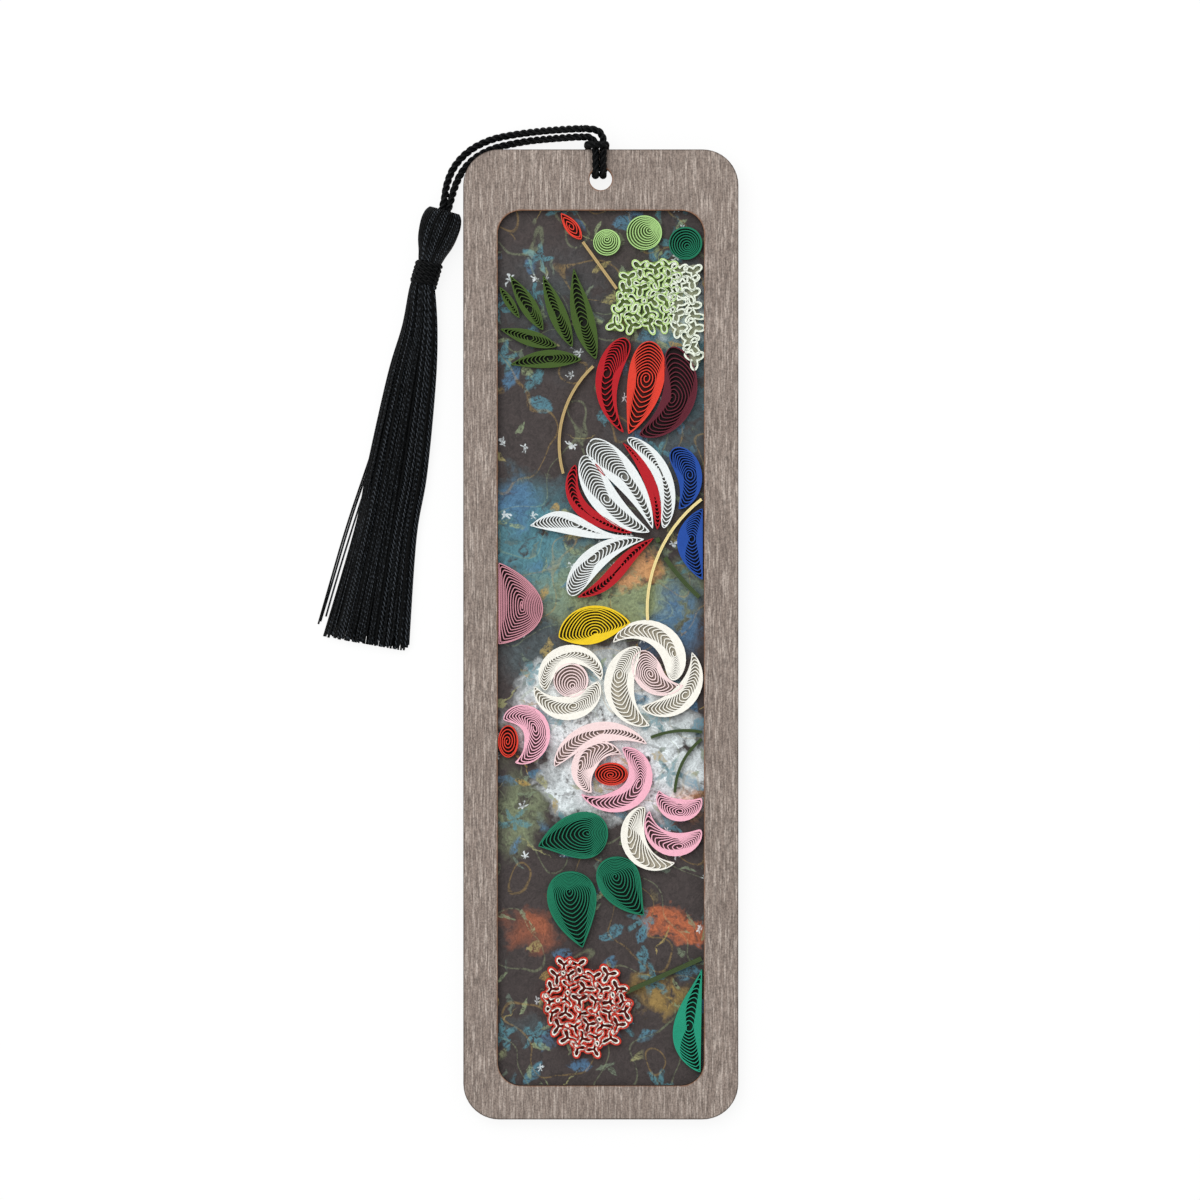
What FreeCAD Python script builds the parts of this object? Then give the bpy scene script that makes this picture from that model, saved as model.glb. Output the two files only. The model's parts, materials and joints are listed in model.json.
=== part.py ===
import FreeCAD, Part
import math
import os

from FreeCAD import Vector

# A quilled paper picture in a long, narrow wooden frame, with a hitched cord and a tassel.
# It lies on its back. The cord that is hitched round the top lies under the board, so the frame
# leans on it by about half a degree. X is across, +Y is towards the hole and +Z is up.
# The origin is on the floor under the middle of the frame.

# Frame
WINDOW_WIDTH = 37.9
WINDOW_LENGTH = 160.7
WINDOW_CORNER = 4.3
SIDE_RAIL = 6.3
TOP_RAIL = 11.2
BOTTOM_RAIL = 6.2
OUTER_CORNER = 6.6
BACK_THICKNESS = 1.0
CARD_THICKNESS = 0.25
FRONT_THICKNESS = 1.8
HOLE_DIAMETER = 4.15
HOLE_FROM_TOP = 5.4

# Quilling
STRIP_HEIGHT = 1.5
GLUE_GAP = 0.05
RING_LEVEL = 0.84
HEART_LEVEL = 0.1
BAND_SHARE = 0.4
COIL_TURNS = 1.2
PRESSED_WIDTH = 1.7
TAN_STEM_THICKNESS = 0.55
GREEN_STEM_THICKNESS = 0.8
LOOP_REACH = 1.25
LOOP_WIDTH = 0.8
LOOP_PITCH = 3.0

# Cord and tassel
CORD_DIAMETER = 1.4
CORD_SIDES = 8
CORD_CLEARANCE = 0.04
FOLD_RADIUS = 0.8
PAIR_SPACING = 1.5
PAIR_MIDDLE = -0.25
TURN_RADIUS = 1.9
CORD_SLACK = 0.25
BIGHT_LEFT = -2.4
BIGHT_RIGHT = 0.85
ARC_STEP = math.radians(32)
TASSEL_RIDGES = 10
RIDGE_DEPTH = 0.09
HEAD_TOP = (-28.7, 77.9)
NECK = (-31.4, 68.6)
HEAD_ENTRY_HEIGHT = 2.2
BINDING_LENGTH = 5.0
BINDING_RADIUS = 2.6
BINDING_GROOVE = 0.3
BINDING_WRAPS = 4

# The window that the picture below is laid out for, and the height of its middle
LAYOUT_SIZE = (37.9, 160.7)
LAYOUT_MIDDLE = -2.5

board_width = WINDOW_WIDTH + 2 * SIDE_RAIL
board_length = WINDOW_LENGTH + TOP_RAIL + BOTTOM_RAIL
board_thickness = BACK_THICKNESS + CARD_THICKNESS + FRONT_THICKNESS
top_edge = board_length / 2
window_middle = (BOTTOM_RAIL - TOP_RAIL) / 2
hole_middle = top_edge - HOLE_FROM_TOP
card_face = BACK_THICKNESS + CARD_THICKNESS
cord_radius = CORD_DIAMETER / 2


# Places on the leaning board

cord_corner = cord_radius / math.cos(math.pi / CORD_SIDES)
cord_slack = HOLE_DIAMETER / 2 - cord_corner - CORD_CLEARANCE
cord_aside = abs(PAIR_MIDDLE) + PAIR_SPACING / 2
cord_in_hole = hole_middle + math.sqrt(cord_slack ** 2 - cord_aside ** 2)
cord_behind = -cord_radius - CORD_CLEARANCE
cord_in_front = board_thickness + cord_corner + CORD_CLEARANCE
bight_height = cord_in_front + 2 * cord_corner + CORD_CLEARANCE
bottom_edge = Vector(0, -board_length / 2, 0)


def leaning(shape, lean):
    """The shape turned about the board's bottom edge."""
    turned = shape.copy()
    turned.rotate(bottom_edge, Vector(1, 0, 0), math.degrees(lean))
    return turned


def leaning_point(point, lean):
    """A point of the board's own frame, after the board leans."""
    along = point.y - bottom_edge.y
    return Vector(
        point.x,
        bottom_edge.y + along * math.cos(lean) - point.z * math.sin(lean),
        along * math.sin(lean) + point.z * math.cos(lean),
    )


def save(name, shape):
    """Writes one sub-part."""
    shape.exportStep("parts/" + name + ".step")


def skin(sections):
    """A solid of flat facets over a row of sections that all have the same number of corners."""
    facets = []
    count = len(sections[0])
    for near, far in zip(sections, sections[1:]):
        for step in range(count):
            after = (step + 1) % count
            facets.append(polygon_face([near[step], near[after], far[after]]))
            facets.append(polygon_face([near[step], far[after], far[step]]))
    facets.append(polygon_face(sections[0][::-1]))
    facets.append(polygon_face(sections[-1]))
    solid = Part.makeSolid(Part.makeShell(facets))
    if solid.Volume < 0:
        solid.reverse()
    return solid


def polygon_face(points):
    """A flat face with these corners."""
    return Part.Face(Part.makePolygon(points + [points[0]]))


# Frame plates

def rounded_plate(width, length, corner, middle, bottom, thickness):
    """A flat plate with four round corners."""
    plate = Part.makeBox(width, length, thickness, Vector(-width / 2, middle - length / 2, bottom))
    upright = [edge for edge in plate.Edges if abs(edge.Vertexes[0].Z - edge.Vertexes[1].Z) > thickness / 2]
    return plate.makeFillet(corner, upright)


def frame_plate(bottom, thickness):
    """A plate of the frame's outline with the cord hole in it."""
    plate = rounded_plate(board_width, board_length, OUTER_CORNER, 0, bottom, thickness)
    hole = Part.makeCylinder(HOLE_DIAMETER / 2, thickness, Vector(0, hole_middle, bottom))
    return plate.cut(hole)


def make_frame(lean):
    """The back board, the printed card on it and the window frame on top."""
    front = frame_plate(card_face, FRONT_THICKNESS)
    window = rounded_plate(
        WINDOW_WIDTH, WINDOW_LENGTH, WINDOW_CORNER, window_middle, card_face, FRONT_THICKNESS)
    save("back_board", leaning(frame_plate(0, BACK_THICKNESS), lean))
    save("picture_card", leaning(frame_plate(BACK_THICKNESS, CARD_THICKNESS), lean))
    save("front_frame", leaning(front.cut(window), lean))


# Quilling

def laid_out(x, y):
    """A point of the layout, moved to its place in the window."""
    return Vector(
        x * WINDOW_WIDTH / LAYOUT_SIZE[0],
        window_middle + (y - LAYOUT_MIDDLE) * WINDOW_LENGTH / LAYOUT_SIZE[1],
        card_face,
    )


def beside_spine(start, end, bend, sway, along, across):
    """A point beside the arc from start to end: along runs from 0 to 1, across is to the left."""
    run_x = end[0] - start[0]
    run_y = end[1] - start[1]
    run = math.hypot(run_x, run_y)
    across = across + sway * math.sin(2 * math.pi * along)
    forward = run * (along - 0.5)
    sideways = across
    if bend:
        half_angle = 2 * math.atan(2 * bend / run)
        radius = run / 2 / math.sin(half_angle)
        angle = half_angle * (2 * along - 1)
        forward = (radius + across) * math.sin(angle)
        sideways = (radius + across) * math.cos(angle) - radius * math.cos(half_angle)
    middle_x = (start[0] + end[0]) / 2
    middle_y = (start[1] + end[1]) / 2
    return laid_out(
        middle_x + (run_x * forward - run_y * sideways) / run,
        middle_y + (run_y * forward + run_x * sideways) / run,
    )


def fullness(along, powers):
    """The share of a coil's width at a place along it. Power 0.5 gives a round end, 1 a pinched one."""
    if along <= 0 or along >= 1:
        return 0
    first, last = powers
    peak = first / (first + last)
    return (along / peak) ** first * ((1 - along) / (1 - peak)) ** last


def coil(start, end, width, bend=0, powers=(0.5, 0.5), heart=(0.5, 0), share=0.5, sway=0, steps=10):
    """A rolled strip: its two ends, its width, how far its middle bends aside and where its heart lies."""
    return {
        "start": start, "end": end, "width": width - 2 * GLUE_GAP, "bend": bend, "powers": powers,
        "heart": heart, "share": share, "sway": sway, "steps": steps,
    }


def coil_point(spec, step, level):
    """A point on the turn at this level, from 1 at the outside to 0 at the heart."""
    angle = 2 * math.pi * step / spec["steps"]
    along = (1 - math.cos(angle)) / 2
    side = spec["share"] if math.sin(angle) >= 0 else spec["share"] - 1
    heart_along, heart_across = spec["heart"]
    heart_side = spec["share"] - 0.5 + heart_across / 2
    heart_offset = heart_side * spec["width"] * fullness(heart_along, spec["powers"])
    offset = side * spec["width"] * fullness(along, spec["powers"])
    place = heart_along + (along - heart_along) * level
    room = spec["width"] * fullness(place, spec["powers"]) * (1 + level) / 2
    across = heart_offset + (offset - heart_offset) * level
    across = max((spec["share"] - 1) * room, min(spec["share"] * room, across))
    return beside_spine(spec["start"], spec["end"], spec["bend"], spec["sway"], place, across)


def make_coil(spec):
    """One strip rolled into a ring of close turns with an open spiral inside. A narrow roll is pressed shut."""
    steps = spec["steps"]
    outline = [coil_point(spec, step, 1) for step in range(steps)]
    face = polygon_face(outline)
    if spec["width"] > PRESSED_WIDTH:
        inner_steps = round(COIL_TURNS * steps)
        pitch = (RING_LEVEL - HEART_LEVEL) / (COIL_TURNS + BAND_SHARE)
        inside = [RING_LEVEL - pitch * (BAND_SHARE + step / steps) for step in range(inner_steps + 1)]
        outside = [RING_LEVEL - pitch * (step - 1) / steps for step in range(inner_steps + 1)]
        gap = [coil_point(spec, step, RING_LEVEL) for step in range(1, steps + 1)]
        gap += [coil_point(spec, step, inside[step]) for step in range(inner_steps + 1)]
        gap += [coil_point(spec, step, outside[step]) for step in range(inner_steps, 1, -1)]
        face = face.cut(polygon_face(gap)).Faces[0]
    return face.extrude(Vector(0, 0, STRIP_HEIGHT))


COILS = {
    "red_bud": coil((-7.4, 77.5), (-3.5, 72.5), 2.4, powers=(1.0, 0.8), heart=(0.5, -0.1), steps=8),
    "small_green_coil": coil((-1.4, 72.0), (3.6, 72.0), 4.9, heart=(0.5, 0.3), steps=12),
    "large_green_coil": coil((4.7, 73.8), (11.2, 73.8), 6.4, heart=(0.67, 0.2), steps=12),
    "dark_green_coil": coil((12.5, 71.9), (18.6, 71.9), 6.1, heart=(0.57, -0.2), steps=12),
    "fern_leaflet_1": coil((-18.7, 64.1), (-14.8, 57.9), 1.7, powers=(1.0, 1.0), steps=8),
    "fern_leaflet_2": coil((-16.8, 66.2), (-10.5, 55.8), 3.1, powers=(1.2, 1.0), heart=(0.63, -0.2)),
    "fern_leaflet_3": coil(
        (-10.7, 66.3), (-5.1, 52.6), 3.3, bend=-0.2, powers=(1.2, 1.0), heart=(0.53, -0.2)),
    "fern_leaflet_4": coil((-5.0, 67.6), (-0.8, 50.4), 4.1, bend=-0.6, powers=(1.3, 1.0), heart=(0.6, -0.1)),
    "fern_leaflet_5": coil((-18.7, 56.2), (-7.8, 52.9), 2.9, powers=(1.2, 1.0)),
    "fern_leaflet_6": coil((-16.9, 49.5), (-3.4, 50.5), 3.3, bend=0.6, powers=(1.2, 1.0), heart=(0.57, 0.1)),
    "poppy_petal_left": coil((5.2, 54.2), (4.5, 36.9), 4.4, bend=-3.9, powers=(0.4, 0.9), heart=(0.37, -0.2)),
    "poppy_petal_middle": coil((8.9, 54.0), (5.0, 36.7), 6.8, bend=1.0, powers=(0.5, 0.9), heart=(0.38, 0)),
    "poppy_petal_right": coil(
        (12.4, 52.8), (6.9, 36.7), 5.5, bend=5.2, powers=(0.45, 0.65), heart=(0.52, -0.4)),
    "tulip_white_1": coil((-2.4, 35.4), (9.6, 19.2), 4.6, bend=2.1, powers=(0.35, 1.0), heart=(0.45, -0.2)),
    "tulip_white_2": coil((-3.0, 33.2), (9.2, 18.8), 4.6, bend=-2.9, powers=(0.5, 0.85), heart=(0.47, 0.1)),
    "tulip_white_3": coil((4.5, 36.2), (11.3, 19.1), 2.9, bend=3.9, powers=(0.45, 0.5), heart=(0.45, 0)),
    "tulip_white_4": coil(
        (-13.3, 19.9), (6.5, 18.3), 4.1, bend=0.5, powers=(1.2, 2.4), heart=(0.4, 0), sway=0.9),
    "tulip_white_5": coil((-5.5, 6.9), (8.3, 17.5), 4.4, bend=2.9, powers=(0.5, 0.95), heart=(0.43, 0.2)),
    "tulip_red_1": coil((3.5, 35.7), (10.3, 18.6), 1.7, bend=2.3, powers=(1.0, 0.8), steps=12),
    "tulip_red_2": coil((-4.4, 31.7), (6.3, 18.7), 1.7, bend=-5.0, powers=(0.6, 0.9), sway=-0.7, steps=16),
    "tulip_red_3": coil((-4.8, 6.7), (10.1, 18.0), 2.3, bend=-0.4, powers=(1.1, 1.2), sway=-0.6),
    "tulip_red_4": coil((-0.9, 31.5), (3.6, 25.7), 0.4, powers=(1.0, 1.0), steps=6),
    "blue_petal_upper": coil((12.7, 33.7), (14.2, 23.0), 4.3, bend=2.7, powers=(0.45, 0.8), heart=(0.45, 0)),
    "blue_petal_lower": coil((18.6, 23.3), (18.6, 9.9), 4.6, powers=(0.8, 0.9), heart=(0.42, 0), share=0),
    "dusky_pink_petal": coil(
        (-18.8, 13.3), (-18.8, -1.8), 8.3, powers=(0.9, 0.9), heart=(0.47, 0.1), share=1),
    "yellow_petal": coil((-7.8, -0.5), (5.5, 2.2), 7.1, bend=1.1, powers=(0.8, 0.95), heart=(0.5, -0.6)),
    "small_rose_outer": coil((-10.0, -10.5), (0.0, -8.7), 3.1, bend=6.1, powers=(0.9, 0.9), steps=16),
    "small_rose_lower": coil((-12.3, -9.1), (-0.5, -8.4), 3.2, bend=-5.3, powers=(1.1, 0.8), steps=14),
    "small_rose_heart": coil((-8.4, -8.3), (-2.6, -8.3), 5.8, heart=(0.57, -0.5), steps=12),
    "large_rose_upper": coil(
        (2.0, -1.8), (12.9, -8.4), 4.4, bend=5.9, powers=(1.0, 0.55), heart=(0.65, 0), steps=14),
    "large_rose_left": coil(
        (7.4, -2.4), (9.3, -16.7), 4.0, bend=-5.6, powers=(0.7, 0.9), heart=(0.4, 0), steps=14),
    "large_rose_lower": coil((16.6, -3.0), (7.2, -13.1), 2.8, bend=5.2, powers=(1.1, 1.0), steps=14),
    "large_rose_heart": coil((8.8, -3.1), (15.9, -8.7), 4.3, bend=-3.9, powers=(0.5, 1.1), heart=(0.38, 0.1)),
    "side_bud_crescent": coil(
        (-18.0, -15.7), (-16.0, -23.5), 4.6, bend=5.5, powers=(0.75, 1.0), heart=(0.42, 0), sway=0.4, steps=12),
    "side_bud_heart": coil((-17.0, -16.6), (-17.0, -22.6), 3.7, heart=(0.5, -0.1)),
    "pink_rose_outer": coil((-8.6, -24.6), (8.7, -20.3), 3.0, bend=4.6, powers=(0.9, 1.1), steps=12),
    "pink_rose_left": coil(
        (3.9, -22.2), (-1.6, -29.0), 3.0, bend=-5.2, powers=(1.1, 0.9), heart=(0.55, 0), steps=14),
    "pink_rose_right": coil(
        (3.8, -20.8), (-3.9, -29.0), 4.0, bend=7.4, powers=(0.8, 1.2), heart=(0.4, 0), sway=0.7, steps=16),
    "pink_rose_heart": coil((-1.1, -25.6), (5.0, -25.6), 4.2, heart=(0.48, -0.1)),
    "cream_crescent": coil(
        (8.2, -31.7), (13.9, -41.7), 3.8, bend=-5.5, powers=(0.7, 1.0), heart=(0.4, 0), steps=14),
    "pale_pink_crescent": coil(
        (9.1, -32.1), (18.3, -35.7), 3.9, bend=-4.9, powers=(1.1, 0.75), heart=(0.6, 0), steps=14),
    "pink_crescent": coil(
        (10.7, -28.5), (18.5, -29.9), 3.9, bend=-3.2, powers=(1.0, 0.9), heart=(0.55, -0.1)),
    "green_leaf_1": coil(
        (-11.6, -38.9), (1.3, -36.9), 8.7, bend=0.8, powers=(1.0, 0.5), heart=(0.77, 0.1), steps=14),
    "green_leaf_2": coil(
        (-3.3, -57.6), (-5.7, -43.5), 9.2, bend=0.5, powers=(1.0, 0.5), heart=(0.8, 0.1), steps=14),
    "green_leaf_3": coil(
        (8.0, -51.6), (1.9, -40.9), 8.0, bend=0.9, powers=(1.0, 0.5), heart=(0.78, 0.1), steps=14),
    "edge_leaf": coil((18.5, -61.2), (18.2, -80.6), 5.2, powers=(1.29, 0.76), heart=(0.57, 0), share=0),
}


def make_stem(start, end, thickness, bend=0, steps=6):
    """A strip glued down on its edge along a gentle arc."""
    left = [beside_spine(start, end, bend, 0, step / steps, thickness / 2) for step in range(steps + 1)]
    right = [beside_spine(start, end, bend, 0, step / steps, -thickness / 2) for step in range(steps + 1)]
    return polygon_face(left + right[::-1]).extrude(Vector(0, 0, STRIP_HEIGHT))


def make_stems(lean):
    """The tan and the green stems. The tulip's stem stops either side of the strip that crosses it."""
    tan = [
        make_stem((-3.3, 72.1), (2.9, 63.5), TAN_STEM_THICKNESS, steps=1),
        make_stem((-1.4, 49.3), (-6.9, 29.6), TAN_STEM_THICKNESS, bend=-2.9),
        make_stem((18.5, 24.9), (8.6, 2.6), TAN_STEM_THICKNESS, bend=-3.1, steps=7),
    ]
    green = [
        make_stem((10.3, 17.8), (10.65, 17.0), GREEN_STEM_THICKNESS, steps=1),
        make_stem((11.8, 14.2), (18.1, 6.9), GREEN_STEM_THICKNESS, bend=-0.3, steps=3),
        make_stem((9.2, -18.9), (18.6, -17.9), TAN_STEM_THICKNESS, bend=0.7, steps=4),
        make_stem((18.5, -19.2), (13.6, -29.0), TAN_STEM_THICKNESS, bend=-1.2, steps=5),
        make_stem((4.6, -65.7), (18.5, -59.5), GREEN_STEM_THICKNESS, steps=1),
    ]
    save("tan_stems", leaning(Part.makeCompound(tan), lean))
    save("green_stems", leaning(Part.makeCompound(green), lean))


# Clusters of pinched loops: for each row its height, its left end and how many loops it has
GREEN_ROWS = [(67.5, 9.3, 2), (64.8, 6.0, 3), (62.1, 5.0, 3), (59.4, 4.2, 3), (56.7, 3.2, 4)]
PALE_ROWS = [(67.2, 17.2, 1), (64.8, 14.4, 2), (62.1, 14.0, 2), (59.4, 13.2, 2),
             (56.7, 15.2, 1), (54.0, 16.4, 1)]
RED_ROWS = [(-60.5, -4.6, 2), (-63.2, -7.6, 4), (-65.9, -9.1, 5), (-68.6, -9.1, 5), (-71.3, -9.1, 5),
            (-74.0, -7.6, 4), (-76.7, -4.6, 2)]


def make_loop(x, y, turn):
    """One closed strip pinched into three arms."""
    points = []
    for arm in range(3):
        angle = turn + arm * 2 * math.pi / 3
        for side in (-1, 1):
            points.append(laid_out(
                x + LOOP_REACH * math.cos(angle) - side * LOOP_WIDTH / 2 * math.sin(angle),
                y + LOOP_REACH * math.sin(angle) + side * LOOP_WIDTH / 2 * math.cos(angle),
            ))
        hollow = angle + math.pi / 3
        points.append(laid_out(x + LOOP_WIDTH / 2 * math.cos(hollow), y + LOOP_WIDTH / 2 * math.sin(hollow)))
    return polygon_face(points).extrude(Vector(0, 0, STRIP_HEIGHT))


def make_cluster(rows):
    """A flower head of pinched loops, each turned its own way."""
    loops = []
    for row, (y, left, count) in enumerate(rows):
        for place in range(count):
            loops.append(make_loop(left + place * LOOP_PITCH, y, 1.3 * row + 2.1 * place))
    return Part.makeCompound(loops)


# Cord

STRAND_LEFT = [
    (-9.6, 92.6, 3.2), (-13.0, 92.35, 1.5), (-16.6, 91.9, 0.72), (-20.4, 91.1, 0.71), (-24.2, 89.2, 0.71),
    (-27.0, 86.3, 0.71), (-28.4, 82.9, 0.95),
]
STRAND_RIGHT = [
    (-9.5, 91.05, 3.1), (-12.9, 90.85, 1.45), (-16.3, 90.3, 0.72), (-19.9, 89.5, 0.71), (-23.2, 87.8, 0.71),
    (-25.5, 85.4, 0.71), (-26.8, 82.6, 1.05),
]


def bent_way(points, radii):
    """Places and directions along straight runs joined by arcs of these radii."""
    way = [(points[0], (points[1] - points[0]).normalize())]
    for before, corner, after, radius in zip(points, points[1:], points[2:], radii):
        arriving = (corner - before).normalize()
        leaving = (after - corner).normalize()
        turn = arriving.getAngle(leaving)
        into = corner - arriving * (radius * math.tan(turn / 2))
        inward = (leaving - arriving * arriving.dot(leaving)).normalize()
        steps = max(2, math.ceil(turn / ARC_STEP))
        for step in range(steps + 1):
            angle = turn * step / steps
            place = into + arriving * (radius * math.sin(angle)) + inward * (radius * (1 - math.cos(angle)))
            way.append((place, arriving * math.cos(angle) + inward * math.sin(angle)))
    way.append((points[-1], (points[-1] - points[-2]).normalize()))
    return way


def cord_sections(points, radii, level):
    """Eight-sided cuts across a cord. A level one keeps a flat side to the floor."""
    sections = []
    across = None
    for place, direction in bent_way(points, radii):
        if level or across is None:
            across = direction.cross(Vector(0, 0, 1)).normalize()
        across = (across - direction * across.dot(direction)).normalize()
        upward = across.cross(direction)
        corners = []
        for side in range(CORD_SIDES):
            angle = 2 * math.pi * (side + 0.5) / CORD_SIDES
            aside = across * math.cos(angle) + upward * math.sin(angle)
            corners.append(place + aside * cord_corner)
        sections.append(corners)
    return sections


def hitch_points():
    """The cord's way down the front, through the hole, up the back and over the edge round the pair."""
    right = PAIR_MIDDLE + PAIR_SPACING / 2
    left = PAIR_MIDDLE - PAIR_SPACING / 2
    over_edge = top_edge + cord_corner + CORD_CLEARANCE
    turn_end = left - TURN_RADIUS - 2 * CORD_SLACK
    turn_top = top_edge + TURN_RADIUS + CORD_DIAMETER / 4
    return [
        Vector(turn_end, turn_top + PAIR_SPACING, cord_in_front),
        Vector(right, turn_top + PAIR_SPACING, cord_in_front),
        Vector(right, cord_in_hole, cord_in_front),
        Vector(right, cord_in_hole, cord_behind),
        Vector(BIGHT_RIGHT, over_edge, cord_behind),
        Vector(BIGHT_RIGHT, over_edge, bight_height),
        Vector(BIGHT_LEFT, over_edge, bight_height),
        Vector(BIGHT_LEFT, over_edge, cord_behind),
        Vector(left, cord_in_hole, cord_behind),
        Vector(left, cord_in_hole, cord_in_front),
        Vector(left, turn_top, cord_in_front),
        Vector(turn_end, turn_top, cord_in_front),
    ]


def make_strand(points):
    """A free strand on its way down to the floor and round to the tassel."""
    radii = []
    for before, corner, after in zip(points, points[1:], points[2:]):
        turn = (corner - before).getAngle(after - corner)
        radii.append(0.48 * min((corner - before).Length, (after - corner).Length) / math.tan(turn / 2))
    return skin(cord_sections(points, radii, True))


def make_cord():
    """Saves the hitch and the two free strands, and returns how far the hitch makes the board lean."""
    points = hitch_points()
    folds = [TURN_RADIUS + PAIR_SPACING] + [FOLD_RADIUS] * 8 + [TURN_RADIUS]
    sections = cord_sections(points, folds, False)
    lean = max(math.atan2(-corner.z, corner.y - bottom_edge.y) for section in sections for corner in section)
    save("cord_hitch", leaning(skin(sections), lean))
    along = Vector(NECK[0] - HEAD_TOP[0], NECK[1] - HEAD_TOP[1], 0).normalize()
    beside = Vector(-along.y, along.x, 0) * (PAIR_SPACING / 2)
    head = Vector(HEAD_TOP[0], HEAD_TOP[1], HEAD_ENTRY_HEIGHT)
    for name, first, route, aside in (
        ("cord_strand_left", points[0], STRAND_LEFT, -beside),
        ("cord_strand_right", points[-1], STRAND_RIGHT, beside),
    ):
        way = [leaning_point(first, lean), leaning_point(first - Vector(1.2, 0, 0), lean)]
        way += [Vector(x, y, z) for x, y, z in route]
        way += [head + aside - along * 1.8, head + aside]
        save(name, make_strand(way))
    return lean


# Tassel

def ridged_section(middle, direction, half_width, half_height, ridges, depth=RIDGE_DEPTH):
    """A cut across a bundle of threads: an oval with a ridge for each row of threads."""
    across = Vector(-direction.y, direction.x, 0).normalize()
    points = []
    for step in range(2 * ridges):
        angle = math.pi * (step + 0.5) / ridges
        reach = 1 - depth * (step % 2)
        points.append(
            middle
            + across * (half_width * reach * math.cos(angle))
            + Vector(0, 0, half_height * reach * math.sin(angle))
        )
    return points


def make_tassel():
    """The head, the thread bound round its neck and the skirt of loose threads, all on the floor."""
    head_axis = Vector(NECK[0] - HEAD_TOP[0], NECK[1] - HEAD_TOP[1], 0)
    head_length = head_axis.Length
    direction = head_axis / head_length
    top = Vector(HEAD_TOP[0], HEAD_TOP[1], 0)
    head_cuts = [
        (0.0, 1.75, 0.9, HEAD_ENTRY_HEIGHT), (0.1, 2.9, 2.2, 2.3), (0.3, 3.7, 2.8, 2.8),
        (0.6, 3.3, 2.7, 2.7), (0.85, 2.4, 2.3, 2.5), (1.0, 2.0, 2.0, BINDING_RADIUS),
    ]
    head = []
    for along, half_width, half_height, height in head_cuts:
        middle = top + direction * (along * head_length) + Vector(0, 0, height)
        head.append(ridged_section(middle, direction, half_width, half_height, TASSEL_RIDGES))
    save("tassel_head", skin(head))

    neck = Vector(NECK[0], NECK[1], BINDING_RADIUS)
    rounds = []
    for step in range(2 * BINDING_WRAPS + 1):
        radius = BINDING_RADIUS - BINDING_GROOVE * (step % 2 == 0)
        middle = neck + direction * (BINDING_LENGTH * step / (2 * BINDING_WRAPS))
        rounds.append(ridged_section(middle, direction, radius, radius, 6, 0))
    save("tassel_binding", skin(rounds))

    skirt_start = neck + direction * BINDING_LENGTH
    skirt_cuts = [
        (skirt_start.x, skirt_start.y, 2.1, 2.0, BINDING_RADIUS), (-32.9, 56.1, 3.0, 2.1, 2.1),
        (-34.9, 46.9, 4.5, 1.9, 1.9), (-37.5, 30.3, 5.7, 1.6, 1.6), (-39.6, 18.7, 5.9, 1.4, 1.4),
        (-42.9, -0.6, 7.9, 1.1, 1.1),
    ]
    skirt = []
    for place, (x, y, half_width, half_height, height) in enumerate(skirt_cuts):
        before = skirt_cuts[max(place - 1, 0)]
        after = skirt_cuts[min(place + 1, len(skirt_cuts) - 1)]
        way = Vector(after[0] - before[0], after[1] - before[1], 0)
        if place == 0:
            way = direction
        middle = Vector(x, y, height)
        skirt.append(ridged_section(middle, way, half_width, half_height, TASSEL_RIDGES))
    save("tassel_skirt", skin(skirt))


os.makedirs("parts", exist_ok=True)
board_lean = make_cord()
make_frame(board_lean)
for coil_name, coil_spec in COILS.items():
    save(coil_name, leaning(make_coil(coil_spec), board_lean))
make_stems(board_lean)
save("green_snowball", leaning(make_cluster(GREEN_ROWS), board_lean))
save("pale_snowball", leaning(make_cluster(PALE_ROWS), board_lean))
save("red_snowball", leaning(make_cluster(RED_ROWS), board_lean))
make_tassel()
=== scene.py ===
"""The looks of a quilled flower picture in a laser-cut frame with a cord and tassel, as an add-on."""

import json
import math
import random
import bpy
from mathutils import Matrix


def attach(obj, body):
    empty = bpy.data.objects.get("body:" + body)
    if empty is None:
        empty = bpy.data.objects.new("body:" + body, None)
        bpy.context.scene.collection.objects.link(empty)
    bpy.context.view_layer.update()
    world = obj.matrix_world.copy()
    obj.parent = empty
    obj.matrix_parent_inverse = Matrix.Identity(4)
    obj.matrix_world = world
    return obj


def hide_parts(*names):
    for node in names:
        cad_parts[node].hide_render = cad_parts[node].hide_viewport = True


bl_info = {
    "name": "Quilled flower picture",
    "version": (1, 0, 0),
    "blender": (4, 5, 0),
    "location": "View3D > Sidebar > Quilling",
    "description": "Winds paper strips into flowers on a printed card, in a wood laminate frame with a tassel",
    "category": "Add Mesh",
}

import bmesh
import bpy
from mathutils import Matrix, Vector

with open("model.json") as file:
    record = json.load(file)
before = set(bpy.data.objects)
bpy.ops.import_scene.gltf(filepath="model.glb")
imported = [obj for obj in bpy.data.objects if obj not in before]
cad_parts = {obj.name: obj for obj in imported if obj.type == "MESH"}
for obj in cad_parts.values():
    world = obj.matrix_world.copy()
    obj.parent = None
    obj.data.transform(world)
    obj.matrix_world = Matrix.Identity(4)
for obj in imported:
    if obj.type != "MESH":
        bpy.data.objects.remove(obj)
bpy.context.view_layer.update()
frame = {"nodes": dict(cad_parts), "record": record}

MM = 0.001

# The board leans back on the cord that is folded behind its top edge. It turns about its bottom edge
FOOT = Vector((0, -89.05 * MM, 0))
FOOT_AXIS = next(mount["axis"] for mount in frame["record"]["mounts"] if mount["name"] == "bottom_edge")
LEANING = (
    Matrix.Translation(FOOT)
    @ Matrix.Rotation(math.asin(-FOOT_AXIS[2]), 4, "X")
    @ Matrix.Translation(-FOOT)
)
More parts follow.
